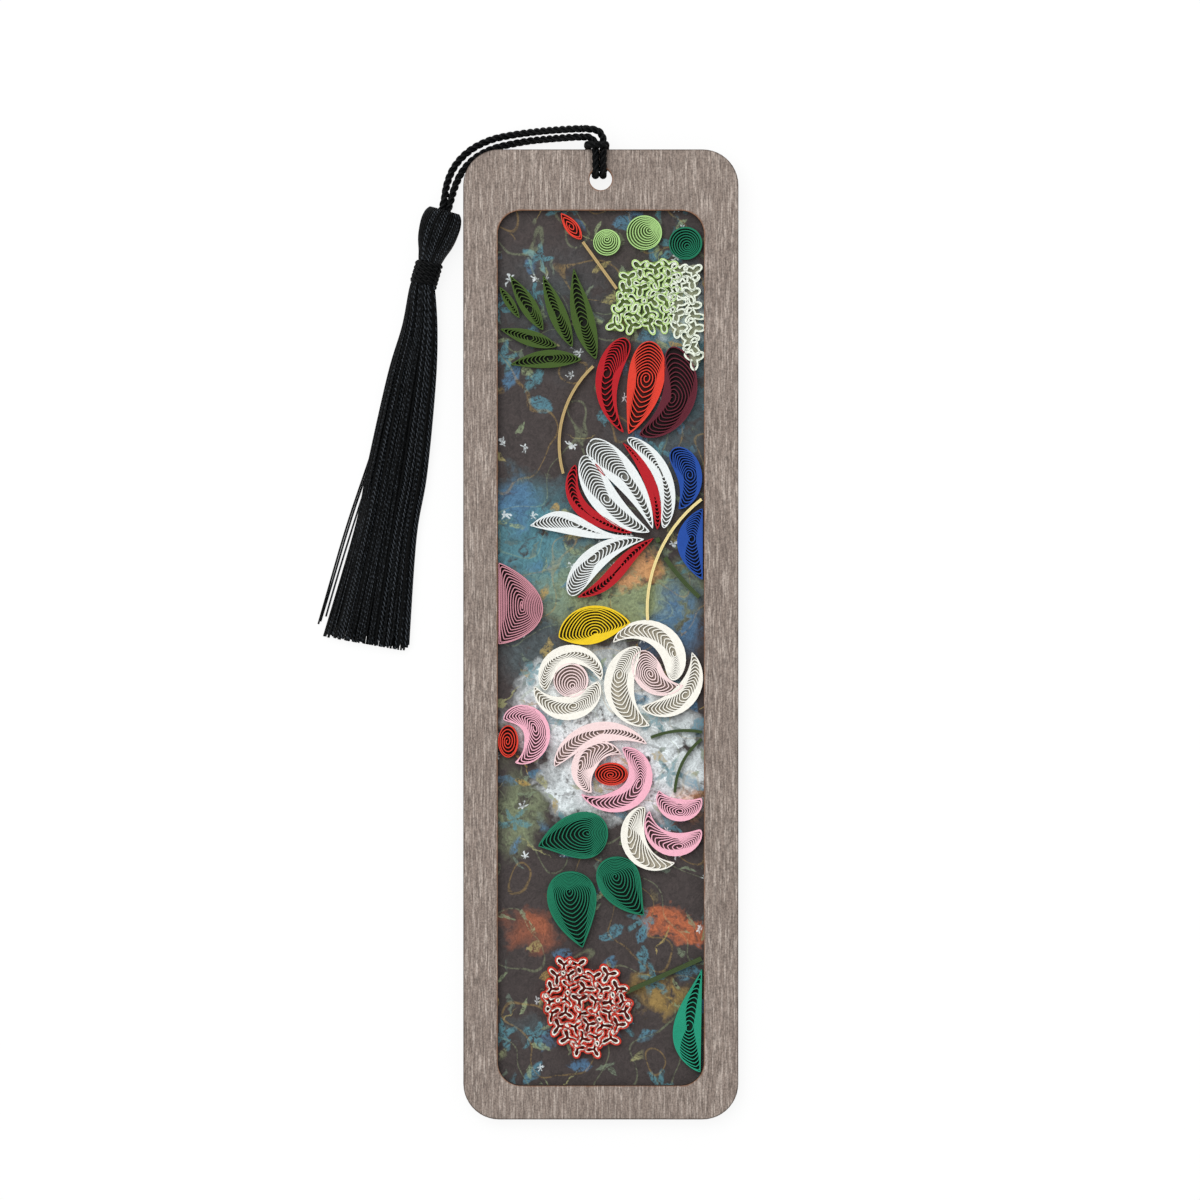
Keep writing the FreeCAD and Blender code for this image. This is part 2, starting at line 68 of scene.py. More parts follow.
# The unleaned board in mm: the height of the card's face, then width, length and corner radius of the board and
# of its window, how far the window's middle is up the board, and the cord hole's middle and radius
CARD_FACE = 1.25
BOARD_SIZE = (50.5, 178.1, 6.6)
WINDOW_SIZE = (37.9, 160.7, 4.3)
WINDOW_MIDDLE = -2.5
HOLE = (0, 83.65, 2.075)
# Edges bent by more than this look sharp
SHARP_BEND = math.radians(38)


# Small helpers

def linear(hex_colour):
    """An sRGB hex colour as linear red, green, blue and alpha."""
    shares = [int(hex_colour[place:place + 2], 16) / 255 for place in (1, 3, 5)]
    lit = [share / 12.92 if share <= 0.04045 else ((share + 0.055) / 1.055) ** 2.4 for share in shares]
    return (*lit, 1.0)


def socket_of(sockets, key):
    """A socket by its place, or the one of that name that the node's settings leave on."""
    if isinstance(key, int):
        return sockets[key]
    return next(socket for socket in sockets if socket.name == key and socket.enabled)


def add_node(tree, kind, inputs=None, **settings):
    """Adds a node with its settings. An input takes a value, a socket, or a node for its first output."""
    node = tree.nodes.new(kind)
    for name, value in settings.items():
        setattr(node, name, value)
    for key, value in (inputs or {}).items():
        if isinstance(value, bpy.types.Node):
            value = next(socket for socket in value.outputs if socket.enabled)
        if isinstance(value, bpy.types.NodeSocket):
            tree.links.new(value, socket_of(node.inputs, key))
        else:
            socket_of(node.inputs, key).default_value = value
    return node


def colour_setting(name, description, hex_colour):
    """A colour that a user can change."""
    return bpy.props.FloatVectorProperty(
        name=name, description=description, subtype="COLOR", size=4, min=0, max=1, default=linear(hex_colour))


def length_setting(name, description, millimetres):
    """A length that a user can change."""
    return bpy.props.FloatProperty(
        name=name, description=description, subtype="DISTANCE", unit="LENGTH", min=0, default=millimetres * MM,
        precision=5)


# Sizes and colours

class StripSizes(bpy.types.PropertyGroup):
    """Sizes of the quilling strips and stems."""
    thickness: length_setting("Thickness", "Thickness of one paper strip", 0.18)
    height: length_setting("Height", "Width of the strip, which stands on its edge", 1.5)
    loop_reach: length_setting("Loop reach", "From the middle of a pinched loop to the end of an arm", 1.75)
    seed: bpy.props.IntProperty(name="Seed", description="Turns the pinched loops another way", default=7)


class PaperColours(bpy.types.PropertyGroup):
    """Colours of the dyed papers."""
    scarlet: colour_setting("Scarlet", "Red bud, middle poppy petal and rose hearts", "#dd3c2a")
    light_green: colour_setting("Light green", "Two small round rolls", "#a9d284")
    deep_green: colour_setting("Deep green", "Rounded leaves", "#0f7354")
    bright_green: colour_setting("Bright green", "Leaf at the edge", "#1a9474")
    olive: colour_setting("Olive", "Fern leaflets", "#40591f")
    crimson: colour_setting("Crimson", "Left poppy petal and red tulip slivers", "#b5121f")
    maroon: colour_setting("Maroon", "Right poppy petal", "#5e1a2a")
    white: colour_setting("White", "White tulip petals", "#e9eeee")
    blue: colour_setting("Blue", "Blue petals", "#1c4aa0")
    dusky_pink: colour_setting("Dusky pink", "Half flower at the left edge", "#c98a96")
    yellow: colour_setting("Yellow", "Yellow petal", "#f0cc1e")
    cream: colour_setting("Cream", "Cream rose petals", "#f7f4ea")
    pink: colour_setting("Pink", "Pink rose petals", "#f6b6c8")
    pale_pink: colour_setting("Pale pink", "Palest petals and rose hearts", "#f8dedd")
    lime: colour_setting("Lime", "Green flower head", "#bddd8c")
    mist: colour_setting("Mist", "Whitish green strips of the flower heads", "#ecf4e3")
    brick: colour_setting("Brick red", "Red flower head", "#c8321f")
    tan: colour_setting("Tan", "Thin stems", "#b59c6a")
    straw: colour_setting("Straw", "Pale stem", "#ecd998")
    moss: colour_setting("Moss", "Green stems", "#3c4c28")


class BoardColours(bpy.types.PropertyGroup):
    """Colours of the wood laminate and of its laser-cut edges."""
    wood: colour_setting("Wood", "Body of the taupe wood print", "#8a7c73")
    streak: colour_setting("Streak", "Limed streaks of the grain", "#bfb2a8")
    fleck: colour_setting("Fleck", "Dark pores of the grain", "#5c5049")
    charred: colour_setting("Charred", "Sides burnt by the laser", "#33261e")
    scorch: colour_setting("Scorch", "Brown line round the window and the hole", "#7a4b28")
    scorch_width: length_setting("Scorch width", "Width of the scorched line", 0.28)


class PrintColours(bpy.types.PropertyGroup):
    """Colours of the printed card under the flowers."""
    dark: colour_setting("Dark ground", "Dark brown grey of most of the card", "#3f3736")
    slate: colour_setting("Slate", "Cool cloud in the ground", "#4c5a5e")
    teal: colour_setting("Teal", "Painted foliage", "#4f8490")
    sage: colour_setting("Sage", "Painted foliage in the light", "#8c9a74")
    pale: colour_setting("Pale blue", "Light patch behind the roses", "#dbe3e5")
    ochre: colour_setting("Ochre", "Painted dry leaves", "#a98a48")
    rust: colour_setting("Rust", "Warm patch low in the picture", "#b4633f")
    sky: colour_setting("Sky blue", "Blue petals and leaves of the print", "#4a7396")
    apricot: colour_setting("Apricot", "Small warm lights of the print", "#cf9463")
    core: colour_setting("Core", "Cut edge of the card", "#9a9086")


class CordSizes(bpy.types.PropertyGroup):
    """Sizes and colours of the cord and its tassel."""
    diameter: length_setting("Diameter", "Diameter of the twisted cord", 1.4)
    twist: length_setting("Twist", "Length of one full turn of the cord's plies", 3.9)
    thread: length_setting("Thread", "Diameter of a tassel thread", 0.38)
    threads: bpy.props.IntProperty(name="Threads", description="Threads in the tassel's skirt", default=260, min=20)
    seed: bpy.props.IntProperty(name="Seed", description="Lays the tassel's threads another way", default=3)
    dye: colour_setting("Dye", "Black of the thread", "#040506")
    # Painted highlight: the lighter colour mixed into the black where light would catch the thread
    lustre: colour_setting("Lustre", "Lit side of the thread", "#4c5259")


class StudioSettings(bpy.types.PropertyGroup):
    """Camera distance and light."""
    distance: bpy.props.FloatProperty(
        name="Camera height", description="Height of the camera over the table", default=1.2, unit="LENGTH")
    view: bpy.props.FloatProperty(
        name="View", description="Width of the view at the table", default=0.221, unit="LENGTH", precision=4)
    sky: bpy.props.FloatProperty(name="Sky", description="Strength of the light from all round", default=0.68)
    lamp: bpy.props.FloatProperty(name="Lamp", description="Power of the soft box", default=7.5, unit="POWER")
    table: colour_setting("Table", "White of the table", "#ffffff")


# Materials

def new_material(name):
    """An empty material with its tree, its object coordinates in millimetres and its surface shader."""
    material = bpy.data.materials.new(name)
    material.use_nodes = True
    tree = material.node_tree
    tree.nodes.clear()
    place = add_node(tree, "ShaderNodeTexCoord")
    grid = add_node(tree, "ShaderNodeVectorMath", {0: place.outputs["Object"], 3: 1 / MM}, operation="SCALE")
    surface = add_node(tree, "ShaderNodeBsdfPrincipled")
    add_node(tree, "ShaderNodeOutputMaterial", {"Surface": surface})
    return material, tree, grid, surface


def upward_share(tree):
    """1 on faces that look straight up or down, 0 on upright sides."""
    place = add_node(tree, "ShaderNodeTexCoord")
    parts = add_node(tree, "ShaderNodeSeparateXYZ", {0: place.outputs["Normal"]})
    upright = add_node(tree, "ShaderNodeMath", {0: parts.outputs["Z"]}, operation="ABSOLUTE")
    return add_node(tree, "ShaderNodeMapRange", {"Value": upright, "From Min": 0.5, "From Max": 0.8})


def with_sides(tree, sides, face):
    """One colour for upright sides and another for faces that look up or down."""
    return add_node(
        tree, "ShaderNodeMix", {"Factor": upward_share(tree), "A": tuple(sides), "B": face}, data_type="RGBA")


def finish_surface(tree, surface, colour, roughness, specular, relief=None):
    """Gives a material's shader its colour, its gloss and, where it has any, its relief."""
    tree.links.new(next(socket for socket in colour.outputs if socket.enabled), surface.inputs["Base Color"])
    if relief:
        tree.links.new(relief.outputs["Normal"], surface.inputs["Normal"])
    surface.inputs["Roughness"].default_value = roughness
    surface.inputs["Specular IOR Level"].default_value = specular


def dyed_paper(name, colour, depth):
    """Dyed quilling paper cut from a sheet: matt, with short fibres. Depth is the light left between turns, and the
    upright walls of the inner turns take painted shade: the colour darkened by depth.
    """
    material, tree, grid, surface = new_material(name)
    colour = tuple(colour)
    shade = tuple(part * depth for part in colour[:3]) + (1.0,)
    fibres = add_node(tree, "ShaderNodeTexNoise", {"Vector": grid, "Scale": 2.2, "Detail": 3.0, "Roughness": 0.6})
    light = add_node(
        tree, "ShaderNodeMapRange",
        {"Value": fibres, "From Min": 0.3, "From Max": 0.7, "To Min": 0.94, "To Max": 1.05})
    toned = add_node(tree, "ShaderNodeVectorMath", {0: colour[:3], 3: light}, operation="SCALE")
    # Painted shade: upright walls of the inner turns are darkened, as the gaps between turns would be in shade
    upward = upward_share(tree)
    inward = add_node(tree, "ShaderNodeAttribute", attribute_name="inward")
    inside = add_node(
        tree, "ShaderNodeMapRange", {"Value": inward.outputs["Fac"], "From Min": 0.01, "From Max": 0.06})
    side = add_node(tree, "ShaderNodeMath", {0: 1.0, 1: upward}, operation="SUBTRACT")
    painted_shade_share = add_node(tree, "ShaderNodeMath", {0: side, 1: inside}, operation="MULTIPLY")
    whole = add_node(tree, "ShaderNodeMix", {"Factor": painted_shade_share, "A": toned, "B": shade}, data_type="RGBA")
    relief = add_node(tree, "ShaderNodeBump", {"Height": fibres, "Strength": 0.25, "Distance": 0.04 * MM})
    finish_surface(tree, surface, whole, 0.72, 0.35, relief)
    surface.inputs["IOR"].default_value = 1.45
    return material


def dried_glue(name, colour, depth):
    """A thin sheet of painted shade: the paper's colour darkened by depth and warmed a little, laid under a roll so
    the gaps between its turns look shaded.
    """
    material, tree, grid, surface = new_material(name)
    uneven = add_node(tree, "ShaderNodeTexNoise", {"Vector": grid, "Scale": 0.8, "Detail": 2.0})
    light = add_node(
        tree, "ShaderNodeMapRange",
        {"Value": uneven, "From Min": 0.3, "From Max": 0.7, "To Min": 0.75 * depth, "To Max": 1.1 * depth})
    warm_shade = tuple(part * tint for part, tint in zip(tuple(colour), (1.0, 0.94, 0.82)))
    toned = add_node(tree, "ShaderNodeVectorMath", {0: warm_shade, 3: light}, operation="SCALE")
    finish_surface(tree, surface, toned, 0.5, 0.2)
    return material


def rounded_distance(tree, grid, size, middle):
    """How far a point is outside a rounded rectangle, in millimetres. It is negative inside."""
    width, length, corner = size
    shifted = add_node(tree, "ShaderNodeVectorMath", {0: grid, 1: (0, middle, 0)}, operation="SUBTRACT")
    folded = add_node(tree, "ShaderNodeVectorMath", {0: shifted}, operation="ABSOLUTE")
    reach = (width / 2 - corner, length / 2 - corner, 0)
    beyond = add_node(tree, "ShaderNodeVectorMath", {0: folded, 1: reach}, operation="SUBTRACT")
    outside = add_node(tree, "ShaderNodeVectorMath", {0: beyond, 1: (0, 0, 0)}, operation="MAXIMUM")
    flat = add_node(tree, "ShaderNodeVectorMath", {0: outside, 1: (1, 1, 0)}, operation="MULTIPLY")
    away = add_node(tree, "ShaderNodeVectorMath", {0: flat}, operation="LENGTH")
    parts = add_node(tree, "ShaderNodeSeparateXYZ", {0: beyond})
    nearest = add_node(tree, "ShaderNodeMath", {0: parts.outputs["X"], 1: parts.outputs["Y"]}, operation="MAXIMUM")
    within = add_node(tree, "ShaderNodeMath", {0: nearest, 1: 0.0}, operation="MINIMUM")
    total = add_node(tree, "ShaderNodeMath", {0: away.outputs["Value"], 1: within}, operation="ADD")
    return add_node(tree, "ShaderNodeMath", {0: total, 1: corner}, operation="SUBTRACT")


def laser_cut_laminate(colours):
    """Printed wood laminate on thin fibreboard, cut by laser: limed grain along the board, charred edges."""
    material, tree, grid, surface = new_material("wood_laminate_laser_cut")
    # Lines about 0.3 mm wide and 6 mm long over a speckle and short dark pores of the same width
    along = add_node(tree, "ShaderNodeVectorMath", {0: grid, 1: (1.0, 0.05, 1.0)}, operation="MULTIPLY")
    lines = add_node(tree, "ShaderNodeTexNoise", {"Vector": along, "Scale": 3.4, "Detail": 2.0, "Roughness": 0.6})
    limed = add_node(tree, "ShaderNodeMapRange", {"Value": lines, "From Min": 0.5, "From Max": 0.66, "To Max": 0.75})
    short = add_node(tree, "ShaderNodeVectorMath", {0: grid, 1: (1.0, 0.8, 1.0)}, operation="MULTIPLY")
    speckle = add_node(tree, "ShaderNodeTexNoise", {"Vector": short, "Scale": 3.6, "Detail": 2.0, "Roughness": 0.6})
    grain = add_node(
        tree, "ShaderNodeMapRange",
        {"Value": speckle, "From Min": 0.36, "From Max": 0.64, "To Min": 0.72, "To Max": 1.24})
    fine = add_node(tree, "ShaderNodeVectorMath", {0: grid, 1: (1.0, 0.12, 1.0)}, operation="MULTIPLY")
    pores = add_node(tree, "ShaderNodeTexNoise", {"Vector": fine, "Scale": 4.0, "Detail": 2.0, "Roughness": 0.5})
    dark = add_node(tree, "ShaderNodeMapRange", {"Value": pores, "From Min": 0.5, "From Max": 0.62, "To Max": 0.6})
    grained = add_node(
        tree, "ShaderNodeMix", {"Factor": limed, "A": tuple(colours.wood), "B": tuple(colours.streak)},
        data_type="RGBA")
    pored = add_node(
        tree, "ShaderNodeMix", {"Factor": dark, "A": grained, "B": tuple(colours.fleck)}, data_type="RGBA")
    toned = add_node(tree, "ShaderNodeVectorMath", {0: pored, 3: grain}, operation="SCALE")
    # The laser leaves a brown line on the face along each cut, wider where the beam lingered
    outer = rounded_distance(tree, grid, BOARD_SIZE, 0)
    inward = add_node(tree, "ShaderNodeMath", {0: outer, 1: -1.0}, operation="MULTIPLY")
    window = rounded_distance(tree, grid, WINDOW_SIZE, WINDOW_MIDDLE)
    from_hole = add_node(tree, "ShaderNodeVectorMath", {0: grid, 1: (HOLE[0], HOLE[1], 0)}, operation="SUBTRACT")
    level = add_node(tree, "ShaderNodeVectorMath", {0: from_hole, 1: (1, 1, 0)}, operation="MULTIPLY")
    ring = add_node(tree, "ShaderNodeVectorMath", {0: level}, operation="LENGTH")
    hole = add_node(tree, "ShaderNodeMath", {0: ring.outputs["Value"], 1: HOLE[2]}, operation="SUBTRACT")
    inner_cuts = add_node(tree, "ShaderNodeMath", {0: window, 1: hole}, operation="MINIMUM")
    lingering = add_node(tree, "ShaderNodeTexNoise", {"Vector": grid, "Scale": 0.5, "Detail": 2.0})
    width = add_node(tree, "ShaderNodeMath", {0: lingering, 1: 2 * colours.scorch_width / MM}, operation="MULTIPLY")
    face = toned
    for distance, near, most, burn in ((inner_cuts, 0.0, 0.9, colours.scorch), (inward, 0.05, 0.8, colours.charred)):
        burnt = add_node(
            tree, "ShaderNodeMapRange",
            {"Value": distance, "From Min": near, "From Max": width, "To Min": most, "To Max": 0.0})
        face = add_node(tree, "ShaderNodeMix", {"Factor": burnt, "A": face, "B": tuple(burn)}, data_type="RGBA")
    relief = add_node(tree, "ShaderNodeBump", {"Height": pores, "Strength": 0.3, "Distance": 0.05 * MM})
    finish_surface(tree, surface, with_sides(tree, colours.charred, face), 0.6, 0.3, relief)
    return material


def blot(tree, place, middle, size, soft):
    """A soft oval patch: 1 in its middle, 0 outside. Soft is the share of its radius that fades."""
    shifted = add_node(tree, "ShaderNodeVectorMath", {0: place, 1: (*middle, 0)}, operation="SUBTRACT")
    shrunk = add_node(
        tree, "ShaderNodeVectorMath", {0: shifted, 1: (1 / size[0], 1 / size[1], 0)}, operation="MULTIPLY")
    away = add_node(tree, "ShaderNodeVectorMath", {0: shrunk}, operation="LENGTH")
    return add_node(
        tree, "ShaderNodeMapRange",
        {"Value": away.outputs["Value"], "From Min": 1.0, "From Max": 1.0 - soft, "To Min": 0.0, "To Max": 1.0})


def scattered(tree, place, cell, shift):
    """A place of its own in each cell of a scatter, turned its own way, and the cell's random numbers."""
    shrunk = add_node(tree, "ShaderNodeVectorMath", {0: place, 1: (1 / cell, 1 / cell, 0)}, operation="MULTIPLY")
    moved = add_node(tree, "ShaderNodeVectorMath", {0: shrunk, 1: (shift, 2 * shift, 0)}, operation="ADD")
    cells = add_node(
        tree, "ShaderNodeTexVoronoi", {"Vector": moved, "Scale": 1.0, "Randomness": 0.85}, voronoi_dimensions="2D")
    inner = add_node(tree, "ShaderNodeVectorMath", {0: moved, 1: cells.outputs["Position"]}, operation="SUBTRACT")
    chance = add_node(tree, "ShaderNodeSeparateXYZ", {0: cells.outputs["Color"]})
    angle = add_node(tree, "ShaderNodeMath", {0: chance.outputs["X"], 1: 6.283}, operation="MULTIPLY")
    turned = add_node(tree, "ShaderNodeVectorRotate", {"Vector": inner, "Angle": angle}, rotation_type="Z_AXIS")
    return turned, chance


def leaf_shape(tree, turned, length, width):
    """A painted leaf pointed at both ends: 1 on the leaf, 0 off it."""
    parts = add_node(tree, "ShaderNodeSeparateXYZ", {0: turned})
    along = add_node(tree, "ShaderNodeMath", {0: parts.outputs["X"], 1: 1 / length}, operation="MULTIPLY")
    squared = add_node(tree, "ShaderNodeMath", {0: along, 1: along}, operation="MULTIPLY")
    room = add_node(tree, "ShaderNodeMath", {0: 1.0, 1: squared}, operation="SUBTRACT")
    half = add_node(tree, "ShaderNodeMath", {0: room, 1: width}, operation="MULTIPLY")
    across = add_node(tree, "ShaderNodeMath", {0: parts.outputs["Y"]}, operation="ABSOLUTE")
    inside = add_node(tree, "ShaderNodeMath", {0: half, 1: across}, operation="SUBTRACT")
    return add_node(tree, "ShaderNodeMapRange", {"Value": inside, "From Min": 0.0, "From Max": width * 0.3})


def blossom_shape(tree, turned, reach):
    """A painted flower of five petals: 1 on the petals, 0 off them."""
    parts = add_node(tree, "ShaderNodeSeparateXYZ", {0: turned})
    angle = add_node(tree, "ShaderNodeMath", {0: parts.outputs["Y"], 1: parts.outputs["X"]}, operation="ARCTAN2")
    five = add_node(tree, "ShaderNodeMath", {0: angle, 1: 5.0}, operation="MULTIPLY")
    wave = add_node(tree, "ShaderNodeMath", {0: five}, operation="COSINE")
    edge = add_node(tree, "ShaderNodeMath", {0: wave, 1: reach * 0.35, 2: reach * 0.65}, operation="MULTIPLY_ADD")
    away = add_node(tree, "ShaderNodeVectorMath", {0: turned}, operation="LENGTH")
    inside = add_node(tree, "ShaderNodeMath", {0: edge, 1: away.outputs["Value"]}, operation="SUBTRACT")
    return add_node(tree, "ShaderNodeMapRange", {"Value": inside, "From Min": 0.0, "From Max": reach * 0.2})


# Soft fields of the print: middle and size in mm, softness, strength and colour
PRINT_FIELDS = [
    ((-8, 60), (15, 14), 0.9, 0.5, "slate"),
    ((15, 52), (9, 18), 0.7, 0.75, "teal"),
    ((12, 33), (12, 10), 0.8, 0.6, "slate"),
    ((-12, 15), (13, 17), 0.6, 0.85, "teal"),
    ((-15, 24), (5, 6), 0.6, 0.8, "sky"),
    ((3, 8), (19, 10), 0.6, 0.85, "sage"),
    ((7, 12), (5, 4.5), 0.4, 0.8, "apricot"),
    ((14, 2), (7, 8), 0.6, 0.8, "sky"),
    ((-13, -4), (8, 9), 0.7, 0.7, "slate"),
    ((-2, -14), (17, 12), 0.35, 1.0, "pale"),
    ((11, -24), (12, 12), 0.35, 1.0, "pale"),
    ((-3, -28), (10, 9), 0.4, 0.95, "pale"),
    ((13, 61), (8, 8), 0.5, 0.7, "pale"),
    ((16, -31), (4, 5), 0.6, 0.5, "apricot"),
    ((-16, -33), (6, 10), 0.7, 0.6, "sage"),
    ((13, -53), (8, 4), 0.3, 0.9, "rust"),
    ((-13, -54), (6.5, 5), 0.7, 0.6, "rust"),
    ((12, -66), (9, 3.5), 0.6, 0.65, "ochre"),
    ((-12, -72), (9, 2.5), 0.8, 0.6, "slate"),
]


# Sprays of leaves: cell in mm, shift, leaf length and width in cells, share of cells and two colours
PRINT_SPRAYS = [
    (6.8, 3.1, 0.42, 0.20, 0.75, "teal", "sky"),
    (4.2, 8.7, 0.44, 0.13, 0.6, "slate", "sage"),
    (5.0, 5.3, 0.40, 0.16, 0.3, "ochre", "sage"),
    (8.5, 1.9, 0.49, 0.02, 0.5, "sage", "ochre"),
]
# Flowers of five petals, large and dusky or small and pale: cell in mm, shift, reach in cells, share of cells,
# strength and colour
PRINT_FLOWERS = [(9.5, 6.4, 0.34, 0.4, 0.7, "teal"), (4.4, 2.6, 0.2, 0.16, 0.8, "pale")]
# Tendrils along level lines of a smooth noise: level and colour
PRINT_TENDRILS = [(0.45, "sage"), (0.57, "ochre")]


def painted(tree, picture, factors, colour):
    """The picture with a colour laid over it, as strongly as all these factors multiplied."""
    share = factors[0]
    for factor in factors[1:]:
        share = add_node(tree, "ShaderNodeMath", {0: share, 1: factor}, operation="MULTIPLY")
    return add_node(tree, "ShaderNodeMix", {"Factor": share, "A": picture, "B": colour}, data_type="RGBA")


def printed_card(colours):
    """Card printed with a painterly pattern of soft fields, sprays and small flowers, matt varnished."""
    material, tree, grid, surface = new_material("printed_card_matt")
    wander = add_node(tree, "ShaderNodeTexNoise", {"Vector": grid, "Scale": 0.16, "Detail": 4.0, "Roughness": 0.6})
    push = add_node(
        tree, "ShaderNodeVectorMath", {0: wander.outputs["Color"], 1: (0.5, 0.5, 0.5)}, operation="SUBTRACT")
    far = add_node(tree, "ShaderNodeVectorMath", {0: push, 3: 14.0}, operation="SCALE")
    brushed = add_node(tree, "ShaderNodeVectorMath", {0: grid, 1: far}, operation="ADD")
    near = add_node(tree, "ShaderNodeVectorMath", {0: push, 3: 5.0}, operation="SCALE")
    nudged = add_node(tree, "ShaderNodeVectorMath", {0: grid, 1: near}, operation="ADD")
    # Brush marks about 0.8 mm wide and 2 mm long
    strokes = add_node(tree, "ShaderNodeVectorMath", {0: brushed, 1: (1.0, 0.35, 1.0)}, operation="MULTIPLY")
    bristles = add_node(
        tree, "ShaderNodeTexNoise", {"Vector": strokes, "Scale": 1.3, "Detail": 4.0, "Roughness": 0.7})
    dry = add_node(tree, "ShaderNodeMapRange", {"Value": bristles, "From Min": 0.36, "From Max": 0.52})
    picture = tuple(colours.dark)
    for place, (middle, size, soft, strength, name) in enumerate(PRINT_FIELDS):
        patch = blot(tree, brushed, middle, size, soft)
        moved = add_node(
            tree, "ShaderNodeVectorMath", {0: brushed, 1: (9.0 * place, 0, 5.0 * place)}, operation="ADD")
        dabbed = add_node(tree, "ShaderNodeTexNoise", {"Vector": moved, "Scale": 0.3, "Detail": 3.0})
        worn = add_node(tree, "ShaderNodeMapRange", {"Value": dabbed, "From Min": 0.3, "From Max": 0.46})
        picture = painted(tree, picture, (patch, worn, strength), tuple(getattr(colours, name)))
    # Each kind of spray keeps to its own parts of the card
    for cell, shift, length, width, share, first, second in PRINT_SPRAYS:
        apart = add_node(tree, "ShaderNodeVectorMath", {0: grid, 1: (30 * shift, 0, 0)}, operation="ADD")
        wild = add_node(tree, "ShaderNodeTexNoise", {"Vector": apart, "Scale": 0.06, "Detail": 1.0})
        sown = add_node(tree, "ShaderNodeMapRange", {"Value": wild, "From Min": 0.48, "From Max": 0.52})
        turned, chance = scattered(tree, nudged, cell, shift)
        leaf = leaf_shape(tree, turned, length, width)
        grows = add_node(tree, "ShaderNodeMath", {0: chance.outputs["Y"], 1: share}, operation="LESS_THAN")
        pair = {"A": tuple(getattr(colours, first)), "B": tuple(getattr(colours, second))}
        tint = add_node(tree, "ShaderNodeMix", {"Factor": chance.outputs["Z"], **pair}, data_type="RGBA")
        picture = painted(tree, picture, (leaf, grows, sown, dry, 0.75), tint)
    for cell, shift, reach, share, strength, name in PRINT_FLOWERS:
        turned, chance = scattered(tree, nudged, cell, shift)
        flower = blossom_shape(tree, turned, reach)
        blooms = add_node(tree, "ShaderNodeMath", {0: chance.outputs["Y"], 1: share}, operation="LESS_THAN")
        picture = painted(tree, picture, (flower, blooms, dry, strength), tuple(getattr(colours, name)))
    ground = add_node(tree, "ShaderNodeTexNoise", {"Vector": grid, "Scale": 0.075, "Detail": 1.0})
    for level, name in PRINT_TENDRILS:
        off = add_node(tree, "ShaderNodeMath", {0: ground, 1: level}, operation="SUBTRACT")
        aside = add_node(tree, "ShaderNodeMath", {0: off}, operation="ABSOLUTE")
        line = add_node(
            tree, "ShaderNodeMapRange", {"Value": aside, "From Min": 0.008, "From Max": 0.003, "To Max": 0.3})
        picture = painted(tree, picture, (line, dry), tuple(getattr(colours, name)))
    light = add_node(
        tree, "ShaderNodeMapRange",
        {"Value": bristles, "From Min": 0.34, "From Max": 0.66, "To Min": 0.6, "To Max": 1.3})
    toned = add_node(tree, "ShaderNodeVectorMath", {0: picture, 3: light}, operation="SCALE")
    finish_surface(tree, surface, with_sides(tree, colours.core, toned), 0.6, 0.3)
    return material


def twisted_rayon(name, sizes, strands=False):
    """Spun rayon thread: dyed black, with a painted highlight, a lighter colour mixed in along each filament."""
    material, tree, grid, surface = new_material(name)
    # Painted highlight: each thread's share of highlight times a noise says where the lighter colour goes
    strand = add_node(tree, "ShaderNodeAttribute", attribute_name="lustre")
    fuzz = add_node(tree, "ShaderNodeTexNoise", {"Vector": grid, "Scale": 2.2, "Detail": 2.0, "Roughness": 0.6})
    both = add_node(tree, "ShaderNodeMath", {0: strand.outputs["Fac"], 1: fuzz}, operation="MULTIPLY")
    lit = add_node(tree, "ShaderNodeMapRange", {"Value": both, "From Min": 0.3, "From Max": 0.55})
    if strands:
        # Painted glints stand for the two plies, 1.3 mm apart along a thread and out of step with its neighbours
        slant = add_node(tree, "ShaderNodeVectorMath", {0: grid, 1: (2.4, 0.77, 0)}, operation="DOT_PRODUCT")
        shift = add_node(tree, "ShaderNodeMath", {0: strand.outputs["Fac"], 1: 9.0}, operation="MULTIPLY")
        phase = add_node(tree, "ShaderNodeMath", {0: slant.outputs["Value"], 1: shift}, operation="ADD")
        angle = add_node(tree, "ShaderNodeMath", {0: phase, 1: 2 * math.pi}, operation="MULTIPLY")
        wave = add_node(tree, "ShaderNodeMath", {0: angle}, operation="SINE")
        glint = add_node(tree, "ShaderNodeMapRange", {"Value": wave, "From Min": 0.3, "From Max": 0.9})
        patchy = add_node(tree, "ShaderNodeMapRange", {"Value": both, "From Min": 0.32, "From Max": 0.55})
        lit = add_node(tree, "ShaderNodeMath", {0: glint, 1: patchy}, operation="MULTIPLY")
    whole = add_node(
        tree, "ShaderNodeMix", {"Factor": lit, "A": tuple(sizes.dye), "B": tuple(sizes.lustre)}, data_type="RGBA")
    relief = add_node(tree, "ShaderNodeBump", {"Height": fuzz, "Strength": 0.8, "Distance": 0.15 * MM})
    finish_surface(tree, surface, whole, 0.5, 0.12, relief)
    surface.inputs["IOR"].default_value = 1.5
    return material


# Geometry Nodes

def new_tree(name, inputs):
    """A Geometry Nodes tree that takes a geometry and these inputs, and the sockets that give them."""
    tree = bpy.data.node_groups.new(name, "GeometryNodeTree")
    tree.interface.new_socket("Geometry", in_out="INPUT", socket_type="NodeSocketGeometry")
    tree.interface.new_socket("Geometry", in_out="OUTPUT", socket_type="NodeSocketGeometry")
    for label, kind in inputs:
        tree.interface.new_socket(label, in_out="INPUT", socket_type=kind)
    return tree, tree.nodes.new("NodeGroupInput").outputs


def finish_tree(tree, result, material, chosen=True):
    """Ends a tree in real geometry with its material."""
    whole = add_node(tree, "GeometryNodeRealizeInstances", {0: result})
    dressed = add_node(
        tree, "GeometryNodeSetMaterial", {"Geometry": whole, "Selection": chosen, "Material": material})
    add_node(tree, "NodeGroupOutput", {0: dressed})
    return tree


